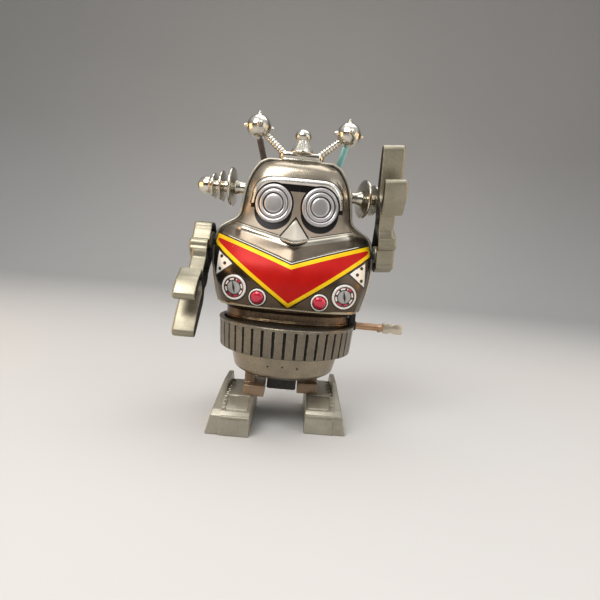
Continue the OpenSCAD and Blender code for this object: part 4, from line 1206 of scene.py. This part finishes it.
def buildArm(tag, side, angle, flip, leanBy):
    an = math.radians(angle)
    along = Vector((0, -math.sin(an), -math.cos(an)))
    front = Vector((0, -math.cos(an), math.sin(an))) * flip
    pivot = Vector((side * arm["innerX"], 0, arm["pivotZ"]))
    leanTurn = Matrix.Rotation(math.radians(-leanBy), 3, "Y")

    def place(u, v, h):
        return tuple(pivot + leanTurn @ (along * u + front * v + Vector((side * h, 0, 0))))

    both = [mats["armPlastic"], mats["hollow"]]
    soft = arm["soft"]
    pieces = []
    for part, loop, w in (("shoulder", rayOutline(3.5, -10, 12.0), arm["shoulder"]),
                          ("forearm", rayOutline(16.7, 11.2, 22.6), arm["forearm"]),
                          ("hand", handOutline(), arm["hand"])):
        levels = insetLevels(loop, ((0.0, 0.25), (0.15, 0.05), (0.5, 0), (w - soft, 0)))
        for k in range(1, 7):
            t = math.pi / 2 * k / 6
            levels.append((w - soft + soft * math.sin(t), insetLoop(loop, soft * 0.85 * (1 - math.cos(t)))))
        outside = stackLoops("arm_" + part, levels, both, "root", place, False, True)
        wall = arm["wall"]
        levels = insetLevels(loop, ((0.0, 0.25), (0.0, wall - 0.15), (0.3, wall), (w - arm["face"], wall)))
        inside = stackLoops("arm_hollow_" + part, levels, both, "root", place, False, True)
        # the inner walls take the dark recess finish: painted shade inside the open hollow
        inside.data.polygons.foreach_set("material_index", [1] * len(inside.data.polygons))
        pieces += [outside, inside]
    w = arm["shoulder"]
    hub = [(0, 2.05, 0), (0, 3.6, 0.2), (w - 1.2, 3.6, 0)]
    boss = [(w - 0.6, 4.4, 0), (w, 4.2, 0.15), (w + 0.05, 3.2, 0.1), (w - 0.25, 2.9, 0.1),
            (w - 0.25, 0.02, 0)]
    for part, corners in (("hub", hub), ("boss", boss)):
        pieces.append(lathePiece("arm_" + part, roundedProfile(corners), 48, both, "root", place, None,
                                 False))
    whole = joinPieces("arm_moulding_" + tag, pieces)
    fixNormals(whole)
    sharpByAngle(whole, 42)
    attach(whole, tag + "_arm")
    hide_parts("arm_" + tag)


buildArm("left", -1, arm["leftAngle"], 1, 0)
buildArm("right", 1, arm["rightAngle"], -1, arm["lean"])
print("arms done")


# ---------- legs and feet ----------

feet = {"toeY": -20.5, "length": 37, "toeHeight": 8.7, "stepTop": 13.3, "bendY": -11.5, "innerX": 11,
        "wallX": 22.4, "outerX": 28.5, "wallTop": 17.4, "wallTilt": 13, "shift": 4.5, "teeth": 9}


def buildFoot(tag, side):
    shift = side * feet["shift"]
    body = tag + "_leg"
    toe, th, top = feet["toeY"], feet["toeHeight"], feet["stepTop"]
    heel, bend = toe + feet["length"], feet["bendY"]
    innerX, wallX, outerX = feet["innerX"], feet["wallX"], feet["outerX"]
    tilt = math.tan(math.radians(feet["wallTilt"]))
    parts = []

    def place(u, v, h):
        # u runs back from the toe, v up, h outwards
        return (side * h, u + shift, v)

    def lean(u, v, h):
        # the outer face of the side wall tips inwards
        return (side * (h - (h - wallX) / (outerX - wallX) * tilt * v), u + shift, v)

    def addPart(name, corners, steps, levels, turn=place):
        # levels are (distance outwards, inset)
        outline = roundedOutline(corners, steps)
        parts.append(stackLoops(name + "_" + tag, insetLevels(outline, levels), [mats["footPlastic"]], body,
                                turn))

    addPart("step", [(toe, 0, 0.5), (heel, 0, 0.6), (heel, 10, 1.2), (heel - 3, top, 1.0), (bend, top, 0.7),
                     (toe + 1.6, th + 0.9, 0.7), (toe + 0.15, th - 0.6, 0.6)], 6,
            ((innerX, 0.5), (innerX + 0.15, 0.15), (innerX + 0.5, 0), (wallX + 0.3, 0)))
    addPart("wall", [(toe + 0.6, 0, 0.5), (heel, 0, 0.6), (heel, 13, 1.4), (heel - 4, feet["wallTop"], 1.2),
                     (-2, feet["wallTop"], 1.2), (toe + 3, 9.8, 1.0), (toe + 0.8, 7.8, 0.8)], 6,
            ((wallX, 0.25), (wallX + 0.3, 0), (outerX - 0.6, 0), (outerX - 0.15, 0.15), (outerX, 0.6)), lean)
    # raised tread on the step: bright upper plate and a second one on the slope
    addPart("tread", [(-10.5, top - 0.3, 0), (heel - 4.5, top - 0.3, 0), (heel - 4.5, top + 0.55, 0.25),
                      (-10.9, top + 0.55, 0.25)], 4,
            ((innerX + 1.2, 0.12), (innerX + 1.35, 0), (wallX - 1.6, 0), (wallX - 1.45, 0.12)))
    slopeDir = Vector((toe + 1.6 - bend, th + 0.9 - top)).normalized()
    slopeUp = Vector((slopeDir.y, -slopeDir.x))
    if slopeUp.y < 0:
        slopeUp = -slopeUp
    start = Vector((bend, top))
    plate = [start + slopeDir * a + slopeUp * b
             for a, b in ((0.8, -0.3), (0.8, 0.4), (7.4, 0.4), (7.4, -0.3))]
    addPart("plate", [(p.x, p.y, 0.12) for p in plate], 3,
            ((innerX + 1.2, 0.1), (innerX + 1.3, 0), (wallX - 1.7, 0), (wallX - 1.6, 0.1)))
    # row of teeth in the seam between the step and the side wall
    for k in range(feet["teeth"]):
        t = (k + 0.5) / feet["teeth"]
        if t < 0.42:
            c = start + slopeDir * (8.2 * (1 - t / 0.42)) + slopeUp * 0.3
        else:
            c = Vector((bend + (t - 0.42) / 0.58 * (heel - 4 - bend), top + 0.3))
        addPart(f"tooth{k}", [(c.x - 0.75, c.y - 0.6, 0), (c.x + 0.75, c.y - 0.6, 0),
                              (c.x + 0.5, c.y + 0.55, 0.2), (c.x - 0.5, c.y + 0.55, 0.2)], 3,
                ((wallX - 1.35, 0.15), (wallX - 1.2, 0), (wallX - 0.1, 0)))
    # raised rim round the toe's face
    addPart("rim", [(toe, th - 1.4, 0.15), (toe - 0.55, th - 1.25, 0.2), (toe - 0.55, th - 0.55, 0.2),
                    (toe + 0.2, th - 0.2, 0.15)], 3,
            ((innerX + 0.3, 0.1), (innerX + 0.4, 0), (wallX - 0.2, 0), (wallX, 0.1)))
    whole = joinPieces("foot_moulding_" + tag, parts)
    fixNormals(whole)
    sharpByAngle(whole, 40)
    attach(whole, body)
    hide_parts("foot_" + tag)


legEdge = {"width": 0.35, "segments": 3, "angle": 40}


def buildLeg(tag):
    # the leg keeps its CAD shape, with softened edges
    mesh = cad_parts["leg_" + tag].data.copy()
    bm = bmesh.new()
    bm.from_mesh(mesh)
    bmesh.ops.remove_doubles(bm, verts=bm.verts, dist=0.01 * mm)
    bmesh.ops.dissolve_limit(bm, angle_limit=math.radians(1), verts=bm.verts, edges=bm.edges)
    bm.to_mesh(mesh)
    bm.free()
    mesh.materials.clear()
    mesh.materials.append(mats["legPlastic"])
    mesh.polygons.foreach_set("use_smooth", [True] * len(mesh.polygons))
    obj = placeObject("leg_moulding_" + tag, mesh)
    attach(obj, tag + "_leg")
    mod = obj.modifiers.new("softEdge", "BEVEL")
    mod.width = legEdge["width"] * mm
    mod.segments = legEdge["segments"]
    mod.limit_method = "ANGLE"
    mod.angle_limit = math.radians(legEdge["angle"])
    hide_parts("leg_" + tag)


for side, tag in sides:
    buildFoot(tag, side)
    buildLeg(tag)
print("legs and feet done")


# ---------- winding stem ----------

stemLow, stemHigh = boxOf("winding_stem")
tabLow, tabHigh = boxOf("key_tab")
stemAxis = Vector((0, (stemLow.y + stemHigh.y) / 2, (stemLow.z + stemHigh.z) / 2))
stemTurn = orient(stemAxis, Vector((1, 0, 0)), Vector((0, 0, 1)))
stem = lathePiece("stem_bar", roundedProfile([
    (stemLow.x, 0.02, 0), (stemLow.x, 1.5, 0.2), (stemHigh.x - 1.8, 1.5, 0.2), (stemHigh.x - 1.4, 1.62, 0.2),
    (stemHigh.x - 0.2, 1.6, 0.3), (stemHigh.x + 0.05, 1.2, 0.1), (stemHigh.x + 0.05, 0.02, 0)]), 40,
    [mats["stem"]], "key_stem", stemTurn)
crimp = lathePiece("stem_crimp", [(0.9, 0.85), (1.75, 0.8), (1.95, 0.6), (2.05, 0.3), (2.08, 0.03)], 24,
                   [mats["stem"]], "key_stem",
                   orient(stemAxis + Vector((stemHigh.x - 1.3, 0, 0)), Vector((0, 0, -1))))
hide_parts("winding_stem")

tabLen = tabHigh.x - tabLow.x
half = (tabHigh.z - tabLow.z) / 2
tabMid = (tabLow.z + tabHigh.z) / 2
# one edge of the waisted tab as (fraction along, pinch, radius), mirrored for the other
tabEdge = [(0, 0, 0.6), (0.28, 0, 0.6), (0.4, 0.75, 0.7), (0.55, 0.1, 0.7), (1, 0, 1.0)]
tabLoop = roundedOutline([(tabLen * t, pinch - half, r) for t, pinch, r in tabEdge]
                         + [(tabLen * t, half - pinch, r) for t, pinch, r in reversed(tabEdge)], 6)
tab = stackLoops("stem_tab", insetLevels(tabLoop, ((-0.55, 0.15), (-0.42, 0), (0.42, 0), (0.55, 0.15))),
                 [mats["tab"]], "key_stem", lambda u, v, h: (tabLow.x + u, h, tabMid + v))
sharpByAngle(tab, 45)
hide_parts("key_tab")
print("stem done")


# ---------- inner works keep their CAD shape ----------

inner = {
    "steel": ["arm_axle_left", "arm_axle_right", "arm_washer_left", "arm_washer_right", "motor_plate_left",
              "motor_plate_right", "motor_pillars", "pillar_screws", "click", "crankshaft", "crank_disc_left",
              "crank_disc_right", "crank_pin_left", "crank_pin_right", "governor_arbor", "governor_rotor",
              "foot_screws_left", "foot_screws_right", "arbor_collars", "motor_base", "pelvis_screws"],
    "darkSteel": ["leg_clip_left", "leg_clip_right", "guide_rod"],
    "springSteel": ["click_spring", "mainspring"],
    "brass": ["ratchet_wheel", "great_wheel", "crank_pinion", "governor_wheel", "governor_pinion"],
    "black": ["winding_bush", "shoulder_bush_left", "shoulder_bush_right"],
}
for finish, nodes in inner.items():
    for n in nodes:
        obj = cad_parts[n]
        obj.data.materials.clear()
        obj.data.materials.append(mats[finish])
print("inner works done")


# ---------- floor, light and camera ----------

studio = {"floorColour": (182, 181, 179), "floorShade": (190, 189, 187), "backdrop": (196, 195, 192),
          "worldStrength": 0.85, "target": (0, 0, 0.065),
          "sky": ((0.0, (120, 116, 110)), (0.46, (92, 82, 70)), (0.5, (46, 38, 32)), (0.6, (58, 50, 44)),
                  (0.72, (150, 148, 146)), (0.84, (236, 238, 242)), (1.0, (250, 250, 250)))}
# name, place, size, power, colour; the warm side cards put tan streaks on the plated plastic
lights = [("softKey", (-0.22, -0.35, 0.5), (0.35, 0.3), 3.0, (1, 0.985, 0.96)),
          ("fill", (0.5, -0.3, 0.25), (0.4, 0.5), 1.0, (0.93, 0.96, 1)),
          ("top", (0.05, 0.1, 0.6), (0.5, 0.4), 1.6, (1, 1, 1)),
          ("warmLeft", (-0.46, -0.06, 0.08), (0.3, 0.36), 1.1, (1.0, 0.62, 0.3)),
          ("warmRight", (0.44, 0.0, 0.08), (0.14, 0.36), 0.55, (1.0, 0.62, 0.3))]
sweep = {"half": 1.2, "front": -0.9, "back": 0.55, "depth": 0.35, "top": 1.4, "steps": 24}


def buildFloor():
    # a plain sweep that curves up behind the object
    prof = [(sweep["front"], 0)]
    for i in range(sweep["steps"] + 1):
        a = math.pi / 2 * i / sweep["steps"]
        prof.append((sweep["back"] + sweep["depth"] * math.sin(a), sweep["depth"] * (1 - math.cos(a))))
    prof.append((sweep["back"] + sweep["depth"], sweep["top"]))
    mesh = bpy.data.meshes.new("floor")
    mesh.from_pydata([(x, y, z) for y, z in prof for x in (-sweep["half"], sweep["half"])], [],
                     gridFaces(len(prof), 2))
    mesh.polygons.foreach_set("use_smooth", [True] * len(mesh.polygons))
    mat, tree, shader, coords = startMaterial("floorPaper")
    tone = blendColour(tree, noiseAt(tree, coords, 3, 3), rgba(*studio["floorColour"]),
                       rgba(*studio["floorShade"]))
    tree.links.new(tone, shader.inputs["Base Color"])
    shader.inputs["Roughness"].default_value = 0.75
    bump = addNode(tree, "Bump", {"Strength": 0.05, "Distance": 0.2 * mm,
                                  "Height": noiseAt(tree, coords, 900, 2)})
    tree.links.new(bump.outputs[0], shader.inputs["Normal"])
    mesh.materials.append(mat)
    obj = placeObject("floor", mesh)


def areaLight(name, place, size, watts, colour):
    data = bpy.data.lights.new(name, "AREA")
    data.shape = "RECTANGLE"
    data.size, data.size_y = size
    data.energy = watts
    data.color = colour
    obj = placeObject(name, data)
    obj.location = place
    obj.rotation_euler = (Vector(studio["target"]) - Vector(place)).to_track_quat("-Z", "Y").to_euler()


buildFloor()
for light in lights:
    areaLight(*light)

world = bpy.data.worlds.new("room")
bpy.context.scene.world = world
world.use_nodes = True
worldTree = world.node_tree
background = worldTree.nodes["Background"]
# dark walls and a bright ceiling, so the metal has something to mirror
skyway = addNode(worldTree, "TexCoord").outputs["Generated"]
height = addNode(worldTree, "SeparateXYZ", {0: skyway}).outputs[2]
sky = addNode(worldTree, "ValToRGB", {0: rampBetween(worldTree, height, -1.0, 1.0)})
stops = sky.color_ramp.elements
for k, (at, tone) in enumerate(studio["sky"]):
    stop = stops[k] if k < 2 else stops.new(at)
    stop.position = at
    stop.color = rgba(*tone)
seen = addNode(worldTree, "LightPath").outputs["Is Camera Ray"]
backdrop = blendColour(worldTree, seen, sky.outputs[0], rgba(*studio["backdrop"]))
worldTree.links.new(backdrop, background.inputs[0])
background.inputs[1].default_value = studio["worldStrength"]

shot = {"place": (2.5, -195.1, 74.9), "yaw": 0.68, "pitch": 6.24, "roll": 5.25, "lens": 27}
yaw, pitch, roll = (math.radians(shot[k]) for k in ("yaw", "pitch", "roll"))
forward = Vector((math.sin(yaw) * math.cos(pitch), math.cos(yaw) * math.cos(pitch), -math.sin(pitch)))
level = Vector((math.cos(yaw), -math.sin(yaw), 0))
upright = level.cross(forward)
right = level * math.cos(roll) + upright * math.sin(roll)
above = upright * math.cos(roll) - level * math.sin(roll)
camData = bpy.data.cameras.new("camera")
camData.lens = shot["lens"]
camData.sensor_width = 36
camData.clip_start = 0.01
camera = placeObject("camera", camData)
camera.matrix_world = Matrix((
    (right.x, above.x, -forward.x, shot["place"][0] * mm),
    (right.y, above.y, -forward.y, shot["place"][1] * mm),
    (right.z, above.z, -forward.z, shot["place"][2] * mm),
    (0, 0, 0, 1)))
bpy.context.scene.camera = camera
bpy.context.scene.view_settings.view_transform = "Standard"
print("stage done")
